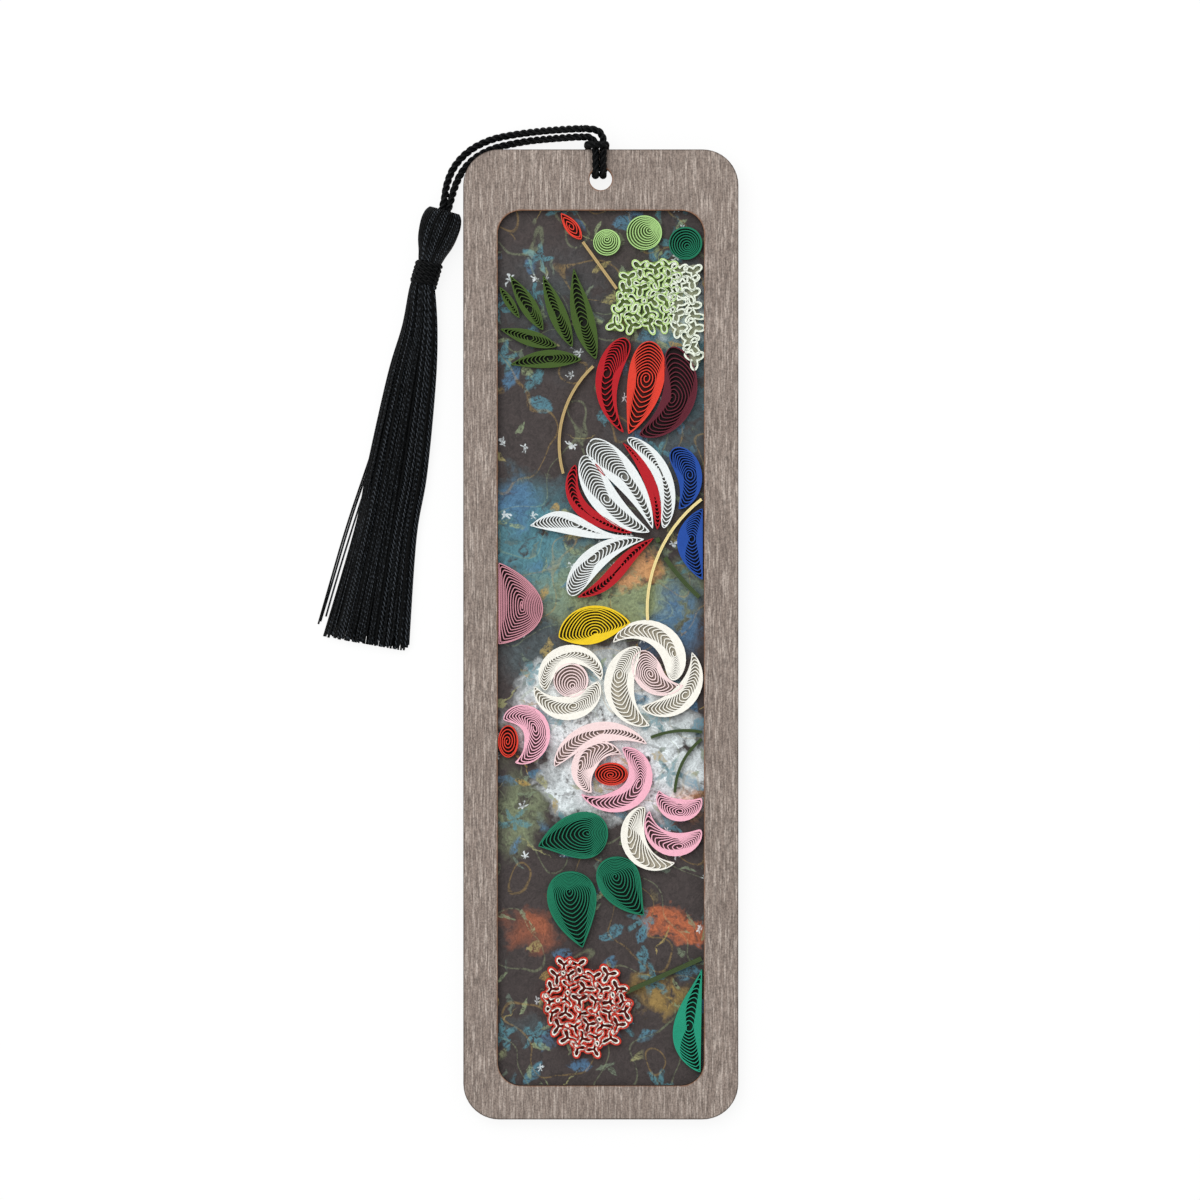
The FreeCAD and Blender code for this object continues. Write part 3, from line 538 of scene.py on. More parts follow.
def strip_tree():
    """A paper strip that stands on its edge along each line."""
    tree, given = new_tree("paper_strip_on_edge", [
        ("Thickness", "NodeSocketFloat"), ("Height", "NodeSocketFloat"), ("Material", "NodeSocketMaterial")])
    line = add_node(tree, "GeometryNodeMeshToCurve", {0: given["Geometry"]})
    upright = add_node(tree, "GeometryNodeSetCurveNormal", {0: line}, mode="Z_UP")
    cut = add_node(
        tree, "GeometryNodeCurvePrimitiveQuadrilateral", {"Width": given["Thickness"], "Height": given["Height"]})
    strip = add_node(
        tree, "GeometryNodeCurveToMesh", {"Curve": upright, "Profile Curve": cut, "Fill Caps": True})
    return finish_tree(tree, strip, given["Material"])


def three_lobed_ring(tree, corners, crest, power, least, most, size):
    """A closed line whose distance from its middle rises and falls three times, and that distance as a share."""
    ring = add_node(tree, "GeometryNodeCurvePrimitiveCircle", {"Resolution": corners, "Radius": 1.0})
    count = add_node(tree, "GeometryNodeInputIndex")
    angle = add_node(tree, "ShaderNodeMath", {0: count, 1: 3 * 2 * math.pi / corners}, operation="MULTIPLY")
    wave = add_node(tree, "ShaderNodeMath", {0: angle}, operation="COSINE")
    even = add_node(tree, "ShaderNodeMapRange", {"Value": wave, "From Min": -crest, "From Max": crest})
    sharp = add_node(tree, "ShaderNodeMath", {0: even, 1: power}, operation="POWER")
    reach = add_node(tree, "ShaderNodeMapRange", {"Value": sharp, "To Min": least, "To Max": most})
    sized = add_node(tree, "ShaderNodeMath", {0: reach, 1: size}, operation="MULTIPLY")
    spot = add_node(tree, "GeometryNodeInputPosition")
    spread = add_node(tree, "ShaderNodeVectorMath", {0: spot, 3: sized}, operation="SCALE")
    return add_node(tree, "GeometryNodeSetPosition", {"Geometry": ring, "Position": spread}), reach


def loop_tree():
    """Two nested strips pinched into three arms, on each point and turned by chance."""
    tree, given = new_tree("pinched_loops", [
        ("Reach", "NodeSocketFloat"), ("Thickness", "NodeSocketFloat"), ("Height", "NodeSocketFloat"),
        ("Outer Share", "NodeSocketFloat"), ("Inner Share", "NodeSocketFloat"), ("Seed", "NodeSocketInt"),
        ("Outer Material", "NodeSocketMaterial"), ("Inner Material", "NodeSocketMaterial")])
    turn = add_node(tree, "FunctionNodeRandomValue", {2: 0.0, 3: 6.283, 8: given["Seed"]}, data_type="FLOAT")
    round_up = add_node(tree, "ShaderNodeCombineXYZ", {2: turn.outputs[1]})
    rotation = add_node(tree, "FunctionNodeEulerToRotation", {0: round_up})
    next_seed = add_node(tree, "ShaderNodeMath", {0: given["Seed"], 1: 1.0}, operation="ADD")
    long = add_node(tree, "FunctionNodeRandomValue", {2: 0.92, 3: 1.2, 8: given["Seed"]}, data_type="FLOAT")
    wide = add_node(tree, "FunctionNodeRandomValue", {2: 0.85, 3: 1.1, 8: next_seed}, data_type="FLOAT")
    size = add_node(tree, "ShaderNodeCombineXYZ", {0: long.outputs[1], 1: wide.outputs[1], 2: 1.0})
    rings = []
    for outer, share, least, most in ((1.0, "Outer Share", 0.34, 1.0), (0.0, "Inner Share", 0.22, 0.87)):
        ring, _ = three_lobed_ring(tree, 36, 1.0, 1.15, least, most, given["Reach"])
        upright = add_node(tree, "GeometryNodeSetCurveNormal", {0: ring}, mode="Z_UP")
        thick = add_node(tree, "ShaderNodeMath", {0: given["Thickness"], 1: given[share]}, operation="MULTIPLY")
        cut = add_node(tree, "GeometryNodeCurvePrimitiveQuadrilateral", {"Width": thick, "Height": given["Height"]})
        strip = add_node(tree, "GeometryNodeCurveToMesh", {"Curve": upright, "Profile Curve": cut})
        mark = add_node(
            tree, "GeometryNodeStoreNamedAttribute", {"Geometry": strip, "Name": "outer", "Value": outer},
            data_type="FLOAT", domain="FACE")
        rings.append(add_node(
            tree, "GeometryNodeSetMaterial", {"Geometry": mark, "Material": given["Inner Material"]}))
    both = tree.nodes.new("GeometryNodeJoinGeometry")
    for ring in rings:
        tree.links.new(ring.outputs[0], both.inputs[0])
    loops = add_node(
        tree, "GeometryNodeInstanceOnPoints",
        {"Points": given["Geometry"], "Instance": both, "Rotation": rotation, "Scale": size})
    marked = add_node(tree, "GeometryNodeInputNamedAttribute", {"Name": "outer"}, data_type="FLOAT")
    chosen = add_node(tree, "FunctionNodeCompare", {0: marked, 1: 0.5}, data_type="FLOAT", operation="GREATER_THAN")
    return finish_tree(tree, loops, given["Outer Material"], chosen)


def cord_tree():
    """A cord of three plies laid round each line."""
    tree, given = new_tree("three_ply_cord", [
        ("Diameter", "NodeSocketFloat"), ("Twist", "NodeSocketFloat"), ("Step", "NodeSocketFloat"),
        ("Material", "NodeSocketMaterial")])
    line = add_node(tree, "GeometryNodeMeshToCurve", {0: given["Geometry"]})
    even = add_node(tree, "GeometryNodeResampleCurve", {"Curve": line, "Length": given["Step"]}, mode="LENGTH")
    way = add_node(tree, "GeometryNodeSplineParameter")
    turns = add_node(tree, "ShaderNodeMath", {0: way.outputs["Length"], 1: given["Twist"]}, operation="DIVIDE")
    angle = add_node(tree, "ShaderNodeMath", {0: turns, 1: 2 * math.pi}, operation="MULTIPLY")
    laid = add_node(tree, "GeometryNodeSetCurveTilt", {"Curve": even, "Tilt": angle})
    # Three plies out to half the diameter, with narrow grooves between them
    cut, reach = three_lobed_ring(tree, 24, -1.0, 2.0, 0.5, 0.28, given["Diameter"])
    # The reach is kept as the share of painted highlight, so the plies' crests are painted lighter than the grooves
    marked = add_node(
        tree, "GeometryNodeStoreNamedAttribute", {"Geometry": cut, "Name": "lustre", "Value": reach},
        data_type="FLOAT", domain="POINT")
    cord = add_node(
        tree, "GeometryNodeCurveToMesh", {"Curve": laid, "Profile Curve": marked, "Fill Caps": True})
    return finish_tree(tree, cord, given["Material"])


def thread_tree():
    """A thin round thread along each line."""
    tree, given = new_tree("tassel_threads", [
        ("Thickness", "NodeSocketFloat"), ("Material", "NodeSocketMaterial")])
    line = add_node(tree, "GeometryNodeMeshToCurve", {0: given["Geometry"]})
    radius = add_node(tree, "ShaderNodeMath", {0: given["Thickness"], 1: 0.5}, operation="MULTIPLY")
    cut = add_node(tree, "GeometryNodeCurvePrimitiveCircle", {"Resolution": 5, "Radius": radius})
    thread = add_node(
        tree, "GeometryNodeCurveToMesh", {"Curve": line, "Profile Curve": cut, "Fill Caps": True})
    return finish_tree(tree, thread, given["Material"])


def lines_mesh(name, lines, **values):
    """Open chains of edges through points, with a number at each point for each attribute."""
    mesh = bpy.data.meshes.new(name)
    edges = []
    first = 0
    for line in lines:
        edges += [(first + step, first + step + 1) for step in range(len(line) - 1)]
        first += len(line)
    mesh.from_pydata([point for line in lines for point in line], edges, [])
    for label, numbers in values.items():
        mesh.attributes.new(label, "FLOAT", "POINT").data.foreach_set("value", numbers)
    return mesh


def grown(name, source, tree, values):
    """The plain mesh that a tree makes of a source mesh, on an object of its own."""
    piece = bpy.data.objects.new(name, source)
    bpy.context.scene.collection.objects.link(piece)
    maker = piece.modifiers.new(tree.name, "NODES")
    maker.node_group = tree
    for item in tree.interface.items_tree:
        if item.item_type == "SOCKET" and item.in_out == "INPUT" and item.name in values:
            maker[item.identifier] = values[item.name]
    result = bpy.data.meshes.new_from_object(piece.evaluated_get(bpy.context.evaluated_depsgraph_get()))
    piece.modifiers.remove(maker)
    piece.data = result
    bpy.data.meshes.remove(source)
    result.name = name
    shape = bmesh.new()
    shape.from_mesh(result)
    if shape.calc_volume(signed=True) < 0:
        bmesh.ops.reverse_faces(shape, faces=shape.faces)
        shape.to_mesh(result)
    shape.free()
    if not result.polygons:
        raise RuntimeError(name + " has no faces")
    result.shade_smooth()
    result.set_sharp_from_angle(angle=SHARP_BEND)
    return piece


def place_piece(piece, nodes, on_board=True):
    """Lays a finished piece on the leaning board where it belongs there, and hides the solids it stands in for."""
    if on_board:
        piece.data.transform(LEANING)
    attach(piece, "root")
    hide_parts(*nodes)


# Rolled strips

STEPS_A_TURN = 56
# In mm: what one turn pressed on another takes up, how far the heart is pushed down, the lowest level of the
# painted shade sheets over the card, how much higher one sits where more light is left, and its reach under a loop
PRESSED_PITCH = 0.1
HEART_DROP = 0.2
SHADE_SHEET_LEVEL = 0.06
SHADE_SHEET_RISE = 0.9
SHADE_SHEET_REACH = 1.3
# In mm: a stem's strip and the spacing of the strips glued side by side
STEM_STRIP = 0.25
STEM_PITCH = 0.27


def roll(
        paper, start, end, width, bend=0, powers=(0.5, 0.5), heart=(0.5, 0), share=0.5, sway=0, turns=8, packed=0.85):
    """A rolled strip.

    Its paper, its two ends and its width. Bend is how far its middle is aside, powers say how blunt each end is,
    heart is where the strip's inner end is, along and across. Share is the part of the width to the left of the
    middle line and sway bends that line into an S. Packed near 1 presses the inner turns against the outer ones.
    """
    return {
        "paper": paper, "start": start, "end": end, "width": width - 0.1, "bend": bend, "powers": powers,
        "heart": heart, "share": share, "sway": sway, "turns": turns, "packed": packed,
    }


# Ends, widths and bends in mm on the card
ROLLS = {
    "red_bud": roll("scarlet", (-7.4, 77.5), (-3.5, 72.5), 2.5, 0, (1.0, 0.8), (0.5, -0.1), turns=4, packed=0.3),
    "small_green_coil": roll("light_green", (-1.4, 72.0), (3.6, 72.0), 4.9, heart=(0.5, 0.3), turns=7, packed=0.0),
    "large_green_coil": roll("light_green", (4.7, 73.8), (11.2, 73.8), 6.4, heart=(0.67, 0.2), turns=9, packed=0.0),
    "dark_green_coil": roll("deep_green", (12.5, 71.9), (18.6, 71.9), 6.1, heart=(0.57, -0.2), turns=8, packed=0.0),
    "fern_leaflet_1": roll("olive", (-18.7, 64.1), (-14.8, 57.9), 1.8, 0, (1.0, 1.0), (0.52, 0), turns=6),
    "fern_leaflet_2": roll("olive", (-16.8, 66.2), (-10.5, 55.8), 3.2, 0, (1.1, 0.9), (0.63, -0.2), turns=9),
    "fern_leaflet_3": roll("olive", (-10.7, 66.3), (-5.1, 52.6), 3.4, -0.2, (1.1, 0.9), (0.53, -0.2), turns=11),
    "fern_leaflet_4": roll("olive", (-5.0, 67.6), (-0.8, 50.4), 4.2, -0.6, (1.2, 0.9), (0.6, -0.1), turns=12),
    "fern_leaflet_5": roll("olive", (-18.7, 56.2), (-7.8, 52.9), 3.0, 0, (1.1, 0.9), (0.52, 0), turns=9),
    "fern_leaflet_6": roll("olive", (-16.9, 49.5), (-3.4, 50.5), 3.4, 0.6, (1.1, 0.9), (0.57, 0.1), turns=10),
    "poppy_petal_left": roll(
        "crimson", (5.2, 54.2), (4.5, 36.9), 4.6, -3.9, (0.4, 0.9), (0.37, -0.2), share=0.53, turns=12),
    "poppy_petal_middle": roll(
        "scarlet", (8.9, 54.0), (5.0, 36.7), 6.8, 1.0, (0.5, 0.9), (0.38, 0), turns=12, packed=0.6),
    "poppy_petal_right": roll(
        "maroon", (12.4, 52.8), (6.9, 36.7), 6.3, 5.2, (0.45, 0.65), (0.52, -0.4), share=0.44, turns=12, packed=0.6),
    "tulip_white_1": roll(
        "white", (-2.4, 35.4), (9.6, 19.2), 5.3, 2.1, (0.35, 0.9), (0.45, -0.1), share=0.43, turns=14, packed=0.7),
    "tulip_white_2": roll(
        "white", (-3.0, 33.2), (9.2, 18.8), 5.3, -2.9, (0.5, 0.8), (0.47, 0.1), share=0.57, turns=14, packed=0.7),
    "tulip_white_3": roll(
        "white", (4.5, 36.2), (11.3, 19.1), 3.3, 3.9, (0.45, 0.5), (0.45, 0), share=0.45, turns=14),
    "tulip_white_4": roll(
        "white", (-13.3, 19.9), (6.5, 18.3), 4.1, 0.5, (1.2, 2.4), (0.42, 0.2), sway=0.9, turns=14),
    "tulip_white_5": roll("white", (-5.5, 6.9), (8.3, 17.5), 4.5, 2.9, (0.5, 0.95), (0.43, 0.2), turns=13),
    "tulip_red_1": roll("crimson", (3.5, 35.7), (10.3, 18.6), 2.2, 2.3, (1.0, 0.8), turns=12, packed=1.0),
    "tulip_red_2": roll(
        "crimson", (-4.4, 31.7), (6.3, 18.7), 2.8, -5.0, (0.6, 0.9), share=0.68, sway=-0.7, turns=12, packed=1.0),
    "tulip_red_3": roll(
        "crimson", (-4.8, 6.7), (10.1, 18.0), 2.9, -0.4, (1.0, 1.1), share=0.4, sway=-0.6, turns=12, packed=1.0),
    "tulip_red_4": roll("crimson", (-1.5, 32.0), (1.2, 28.6), 0.6, 0, (1.0, 1.0), turns=1, packed=0.0),
    "blue_petal_upper": roll(
        "blue", (12.7, 33.7), (14.2, 23.0), 4.8, 2.7, (0.45, 0.8), (0.45, 0), share=0.56, turns=11),
    "blue_petal_lower": roll("blue", (18.7, 23.3), (18.7, 9.9), 4.8, 0, (0.8, 0.9), (0.42, 0.1), share=0, turns=12),
    "dusky_pink_petal": roll(
        "dusky_pink", (-18.8, 13.3), (-18.8, -1.8), 8.3, 0, (0.85, 0.65), (0.53, 0.15), share=1, turns=13,
        packed=0.3),
    "yellow_petal": roll(
        "yellow", (-7.8, -0.5), (5.5, 2.2), 7.1, 1.1, (0.8, 0.95), (0.5, -0.5), turns=12, packed=0.5),
    "small_rose_outer": roll(
        "cream", (-10.0, -10.5), (0.0, -8.7), 3.8, 6.1, (0.55, 0.7), (0.45, 0.2), share=0.46, turns=15),
    "small_rose_lower": roll(
        "cream", (-12.3, -9.1), (-0.5, -8.4), 4.6, -5.3, (0.9, 0.65), (0.58, 0.1), share=0.62, turns=14),
    "small_rose_heart": roll("pale_pink", (-8.7, -8.3), (-2.3, -8.3), 6.4, heart=(0.57, -0.4), turns=8, packed=0.0),
    "large_rose_upper": roll("cream", (2.0, -1.8), (12.9, -8.4), 4.8, 5.9, (0.85, 0.5), (0.75, 0.1), turns=16),
    "large_rose_left": roll(
        "cream", (7.4, -2.4), (9.3, -16.7), 5.6, -5.6, (0.65, 0.85), (0.33, -0.1), share=0.61, turns=15),
    "large_rose_lower": roll(
        "cream", (16.6, -3.0), (7.2, -13.1), 4.5, 5.2, (0.95, 0.8), (0.48, 0), share=0.38, turns=13),
    "large_rose_heart": roll(
        "pale_pink", (8.5, -2.9), (15.3, -9.2), 5.5, -3.2, (0.5, 1.0), (0.38, 0.1), turns=10, packed=0.6),
    "side_bud_crescent": roll(
        "pink", (-18.0, -15.7), (-16.0, -23.5), 5.0, 5.5, (0.7, 0.9), (0.42, -0.1), sway=0.4, turns=12),
    "side_bud_heart": roll("scarlet", (-17.0, -16.6), (-17.0, -22.6), 3.8, heart=(0.5, -0.1), turns=5, packed=0.0),
    "pink_rose_outer": roll(
        "pale_pink", (-8.6, -24.6), (8.7, -20.3), 4.1, 4.6, (0.75, 0.95), (0.55, 0.1), share=0.46, turns=15),
    "pink_rose_left": roll(
        "pale_pink", (3.9, -22.2), (-1.6, -29.0), 4.7, -5.2, (0.95, 0.8), (0.65, -0.3), share=0.64, turns=12),
    "pink_rose_right": roll(
        "pink", (3.8, -20.8), (-3.9, -29.0), 4.8, 7.4, (0.7, 1.0), (0.35, 0), share=0.43, sway=0.7, turns=15),
    "pink_rose_heart": roll("scarlet", (-1.1, -25.6), (5.0, -25.6), 4.3, heart=(0.48, -0.1), turns=6, packed=0.0),
    "cream_crescent": roll(
        "cream", (8.2, -31.7), (13.9, -41.7), 4.6, -5.5, (0.65, 0.9), (0.3, -0.4), share=0.58, turns=12),
    "pale_pink_crescent": roll(
        "pink", (9.1, -32.1), (18.4, -35.7), 4.4, -4.9, (0.95, 0.7), (0.67, -0.2), share=0.56, turns=12),
    "pink_crescent": roll(
        "pink", (10.7, -28.5), (18.5, -29.9), 4.2, -3.2, (0.85, 0.8), (0.55, -0.1), share=0.54, turns=11),
    "green_leaf_1": roll(
        "deep_green", (-11.6, -38.9), (1.3, -36.9), 8.7, 0.8, (1.0, 0.5), (0.73, 0.1), turns=13, packed=0.55),
    "green_leaf_2": roll(
        "deep_green", (-3.3, -57.6), (-5.7, -43.5), 9.2, 0.5, (1.0, 0.5), (0.76, 0.1), turns=14, packed=0.55),
    "green_leaf_3": roll(
        "deep_green", (8.0, -51.6), (1.9, -40.9), 8.0, 0.9, (1.0, 0.5), (0.73, 0.1), turns=12, packed=0.55),
    "edge_leaf": roll(
        "bright_green", (18.6, -61.2), (18.3, -80.6), 5.3, 0, (1.29, 0.76), (0.57, 0.1), share=0, turns=13),
}

# How much light is left between the turns of each lighter paper, and of all the others
GAPS = {
    "cream": 0.62, "pale_pink": 0.5, "pink": 0.28, "white": 0.35, "light_green": 0.45, "lime": 0.4, "mist": 0.5,
    "brick": 0.3,
}
OTHER_GAP = 0.12


def dyed(maker, kind, name):
    """The paper or the painted gap shade in this paper's colour, made once."""
    label = kind + "_" + name
    colour = getattr(bpy.context.scene.quilled_papers, name)
    return bpy.data.materials.get(label) or maker(label, colour, GAPS.get(name, OTHER_GAP))


def paper_of(name):
    """The dyed paper of this name."""
    return dyed(dyed_paper, "quilling_paper", name)


def gap_shade_of(name):
    """The painted shade sheet that darkens the gaps of rolls of this paper."""
    return dyed(dried_glue, "dried_glue", name)


def tree_of(maker, name):
    """The tree of this name, made once."""
    return bpy.data.node_groups.get(name) or maker()


def beside_spine(start, end, bend, sway, along, across):
    """A point beside the arc from start to end: along runs from 0 to 1, across is to the left."""
    run_x = end[0] - start[0]
    run_y = end[1] - start[1]
    run = math.hypot(run_x, run_y)
    across = across + sway * math.sin(2 * math.pi * along)
    forward = run * (along - 0.5)
    sideways = across
    if bend:
        half_angle = 2 * math.atan(2 * bend / run)
        radius = run / 2 / math.sin(half_angle)
        angle = half_angle * (2 * along - 1)
        forward = (radius + across) * math.sin(angle)
        sideways = (radius + across) * math.cos(angle) - radius * math.cos(half_angle)
    return (
        (start[0] + end[0]) / 2 + (run_x * forward - run_y * sideways) / run,
        (start[1] + end[1]) / 2 + (run_y * forward + run_x * sideways) / run,
    )


def fullness(along, powers):
    """The share of a roll's width at a place along it. Power 0.5 gives a round end, 1 a pinched one."""
    if along <= 0 or along >= 1:
        return 0
    first, last = powers
    peak = first / (first + last)
    return (along / peak) ** first * ((1 - along) / (1 - peak)) ** last


def turn_point(spec, angle, level, depth):
    """A point on the turn at this level, 1 outside and 0 at the heart, with this depth of turns outside it."""
    along = (1 - math.cos(angle)) / 2
    side = spec["share"] if math.sin(angle) >= 0 else spec["share"] - 1
    heart_along, heart_across = spec["heart"]
    ridge = spec["share"] - 0.5 + heart_across / 2
    heart_offset = ridge * spec["width"] * fullness(heart_along, spec["powers"])
    offset = side * spec["width"] * fullness(along, spec["powers"])
    place = heart_along + (along - heart_along) * level
    width = spec["width"] * fullness(place, spec["powers"])
    # A loose turn is the outline made smaller. A pressed one lies against those outside it, with a blunt end
    loose = heart_offset + (offset - heart_offset) * level
    run = math.dist(spec["start"], spec["end"])
    near = max(0, place - heart_along * (1 - level)) * run
    far = max(0, heart_along + (1 - heart_along) * level - place) * run
    blunt = (0.4 + 0.23 * spec["width"]) * min(near, far) ** 0.65
    room = abs(side - ridge) * width - depth
    half = max(0, min(room, blunt, math.sqrt(near * far)))
    pressed = ridge * width + math.copysign(half, side - ridge)
    packed = spec["packed"] * min(1, depth / 0.08)
    across = loose + (pressed - loose) * packed
    edge = (1 + level) / 2 * width
    across = max((spec["share"] - 1) * edge, min(spec["share"] * edge, across))
    return beside_spine(spec["start"], spec["end"], spec["bend"], spec["sway"], place, across)


def wound_line(spec, thickness, middle):
    """The whole strip's line from the outside to the heart, in metres, and how far inward each point is."""
    steps = STEPS_A_TURN
    outside = 1 - thickness / spec["width"]
    heart = min(0.4, 0.22 / spec["width"])
    total = spec["turns"] * steps
    line = []
    inward = []
    for step in range(total + 1):
        done = max(0, step - steps) / max(1, total - steps)
        level = outside + (heart - outside) * done
        x, y = turn_point(spec, 2 * math.pi * step / steps, level, PRESSED_PITCH * spec["turns"] * done)
        # The heart sits a little lower, so an outer turn covers the one that is pressed against it
        line.append((x * MM, y * MM, middle - HEART_DROP * MM * done))
        inward.append(done)
    return line, inward


def lay_shade_sheets(piece, outlines, material):
    """Adds the sheets of painted shade that a roll or a loop stands in, one inside each outline."""
    shape = bmesh.new()
    shape.from_mesh(piece.data)
    shade_faces = []
    for outline in outlines:
        shade_face = shape.faces.new([shape.verts.new(point) for point in outline])
        shade_face.normal_update()
        if shade_face.normal.z < 0:
            shade_face.normal_flip()
        shade_faces.append(shade_face)
    piece.data.materials.append(material)
    for part in bmesh.ops.triangulate(shape, faces=shade_faces)["faces"]:
        part.material_index = len(piece.data.materials) - 1
    shape.to_mesh(piece.data)
    shape.free()


def make_rolls(names):
    """Winds these rolls and puts each in the place of its plain solid."""
    sizes = bpy.context.scene.quilled_strips
    tree = tree_of(strip_tree, "paper_strip_on_edge")
    for name in names:
        spec = ROLLS[name]
        line, inward = wound_line(spec, sizes.thickness / MM, CARD_FACE * MM + sizes.height / 2)
        source = lines_mesh(name + "_line", [line], inward=inward)
        values = {"Thickness": sizes.thickness, "Height": sizes.height, "Material": paper_of(spec["paper"])}
        piece = grown(name + "_roll", source, tree, values)
        # A sheet of painted shade inside the outer turn darkens the gaps; it sits higher where more light is left
        level = CARD_FACE + SHADE_SHEET_LEVEL + SHADE_SHEET_RISE * GAPS.get(spec["paper"], OTHER_GAP)
        outline = [(x, y, level * MM) for x, y, _ in line[:STEPS_A_TURN]]
        lay_shade_sheets(piece, [outline], gap_shade_of(spec["paper"]))
        place_piece(piece, [name])


# Pinched loops: outer and inner paper, their thickness as a share of the usual one, the loops' size, their
# spacing, then for each row its height and the middles of its first and last loop in mm
CLUSTERS = {
    "green_snowball": ("lime", "mist", 1.3, 0.8, 1.1, 2.75, [
        (67.6, 7.4, 12.5), (65.5, 5.4, 12.9), (63.4, 4.6, 12.6), (61.3, 3.9, 12.3), (59.2, 3.3, 12.0),
        (57.0, 2.8, 11.7)]),
    "pale_snowball": ("mist", "mist", 1.3, 0.6, 1.05, 2.4, [
        (67.0, 14.6, 17.0), (64.9, 14.4, 17.0), (62.8, 14.2, 17.0), (60.7, 14.0, 17.0), (58.6, 13.9, 17.0),
        (56.5, 14.0, 17.0), (54.4, 15.8, 17.0), (52.6, 17.0, 17.0), (50.6, 17.4, 17.4)]),
    "red_snowball": ("brick", "cream", 2.0, 1.6, 1.12, 2.6, [
        (-60.4, -6.6, -4.2), (-62.6, -8.0, 1.4), (-64.9, -8.8, 2.9), (-67.2, -9.1, 4.4), (-69.5, -9.0, 4.4),
        (-71.8, -7.8, 3.4), (-74.1, -6.2, 1.8), (-76.3, -4.4, -1.2)]),
}


def cluster_places(rows, spacing, seed):
    """Middles of loops set close together in these rows, each a little out of line."""
    chance = random.Random(seed)
    places = []
    for y, left, right in rows:
        count = max(1, round((right - left) / spacing) + 1)
        for place in range(count):
            x = (left + right) / 2 if count == 1 else left + (right - left) * place / (count - 1)
            places.append((x + chance.uniform(-0.35, 0.25), y + chance.uniform(-0.35, 0.35)))
    return places


# Stems: paper, start, end, bend in mm, strips glued side by side
STEMS = {
    "tan_stems": [
        ("tan", (-3.3, 72.1), (2.9, 63.5), 0, 2), ("tan", (-1.4, 49.3), (-6.9, 29.6), -2.9, 2),
        ("straw", (18.5, 24.9), (8.6, 2.6), -3.1, 2)],
    "green_stems": [
        ("moss", (10.3, 17.8), (10.65, 17.0), 0, 3), ("moss", (11.8, 14.2), (18.1, 6.9), -0.3, 3),
        ("moss", (9.2, -18.9), (18.6, -17.9), 0.7, 2), ("moss", (18.5, -19.2), (13.6, -29.0), -1.2, 2),
        ("moss", (4.6, -65.7), (18.5, -59.5), 0, 3)],
}


# Cord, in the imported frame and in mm: the route points of the two free strands
STRAND_LEFT = [
    (-3.4, 92.762, 5.362), (-4.6, 92.762, 5.362), (-9.6, 92.6, 3.2), (-13.0, 92.35, 1.5), (-16.6, 91.9, 0.72),
    (-20.4, 91.1, 0.71), (-24.2, 89.2, 0.71), (-27.0, 86.3, 0.71), (-28.4, 82.9, 0.95), (-28.738, 79.785, 2.2),
    (-29.24, 78.057, 2.2),
]
STRAND_RIGHT = [
    (-3.4, 91.262, 5.350), (-4.6, 91.262, 5.350), (-9.5, 91.05, 3.1), (-12.9, 90.85, 1.45), (-16.3, 90.3, 0.72),
    (-19.9, 89.5, 0.71), (-23.2, 87.8, 0.71), (-25.5, 85.4, 0.71), (-26.8, 82.6, 1.05), (-27.658, 79.472, 2.2),
    (-28.16, 77.743, 2.2),
]
# The hitch, on the board: in along the front, through the hole, up the back, over the pair and back again
HITCH = [
    (-3.4, 92.8, 3.85), (-2.2, 92.8, 3.85), (-0.4, 92.5, 3.85), (0.5, 91.2, 3.85), (0.45, 88.8, 3.85),
    (0.4, 85.6, 3.85), (0.4, 84.6, 3.75), (0.4, 84.4, 2.9), (0.4, 84.4, 0.2), (0.4, 84.6, -0.7), (0.6, 85.6, -0.74),
    (0.85, 88.9, -0.74), (0.85, 89.8, -0.6), (0.9, 89.85, 0.4), (0.9, 89.85, 4.4), (0.75, 89.85, 5.35),
    (-0.2, 89.85, 5.4), (-1.4, 89.85, 5.4), (-2.3, 89.85, 5.35), (-2.4, 89.85, 4.4), (-2.4, 89.85, 0.4),
    (-2.4, 89.8, -0.6), (-2.3, 88.9, -0.74), (-1.2, 85.6, -0.74), (-1.0, 84.6, -0.7), (-1.0, 84.4, 0.2),
    (-0.9, 84.4, 2.9), (-0.9, 84.6, 3.75), (-0.9, 85.6, 3.85), (-0.95, 88.8, 3.85), (-1.1, 90.4, 3.85),
    (-1.9, 91.2, 3.85), (-2.8, 91.3, 3.85), (-3.4, 91.3, 3.85),
]


def spline_points(name, points):
    """The points of a smooth NURBS line through a route, read from the line itself."""
    curve = bpy.data.curves.new(name, "CURVE")
    curve.dimensions = "3D"
    curve.resolution_u = 10
    spline = curve.splines.new("NURBS")
    spline.points.add(len(points) - 1)
    for knot, point in zip(spline.points, points):
        knot.co = (*(part * MM for part in point), 1)
    spline.use_endpoint_u = True
    spline.order_u = 3
    bare = bpy.data.objects.new(name, curve)
    bpy.context.scene.collection.objects.link(bare)
    mesh = bpy.data.meshes.new_from_object(bare.evaluated_get(bpy.context.evaluated_depsgraph_get()))
    line = [vertex.co.copy() for vertex in mesh.vertices]
    bpy.data.objects.remove(bare)
    bpy.data.curves.remove(curve)
    bpy.data.meshes.remove(mesh)
    return line


def cord_of(sizes):
    """The cord's material, made once."""
    label = "twisted_rayon_cord"
    return bpy.data.materials.get(label) or twisted_rayon(label, sizes)


def make_cord_piece(name, points, node, on_board):
    """A twisted cord along a route, and the line that it follows."""
    sizes = bpy.context.scene.quilled_cord
    line = spline_points(name + "_way", points)
    values = {"Diameter": sizes.diameter, "Twist": sizes.twist, "Step": 0.2 * MM, "Material": cord_of(sizes)}
    piece = grown(name, lines_mesh(name + "_line", [line]), tree_of(cord_tree, "three_ply_cord"), values)
    place_piece(piece, [node], on_board)
    return piece, line


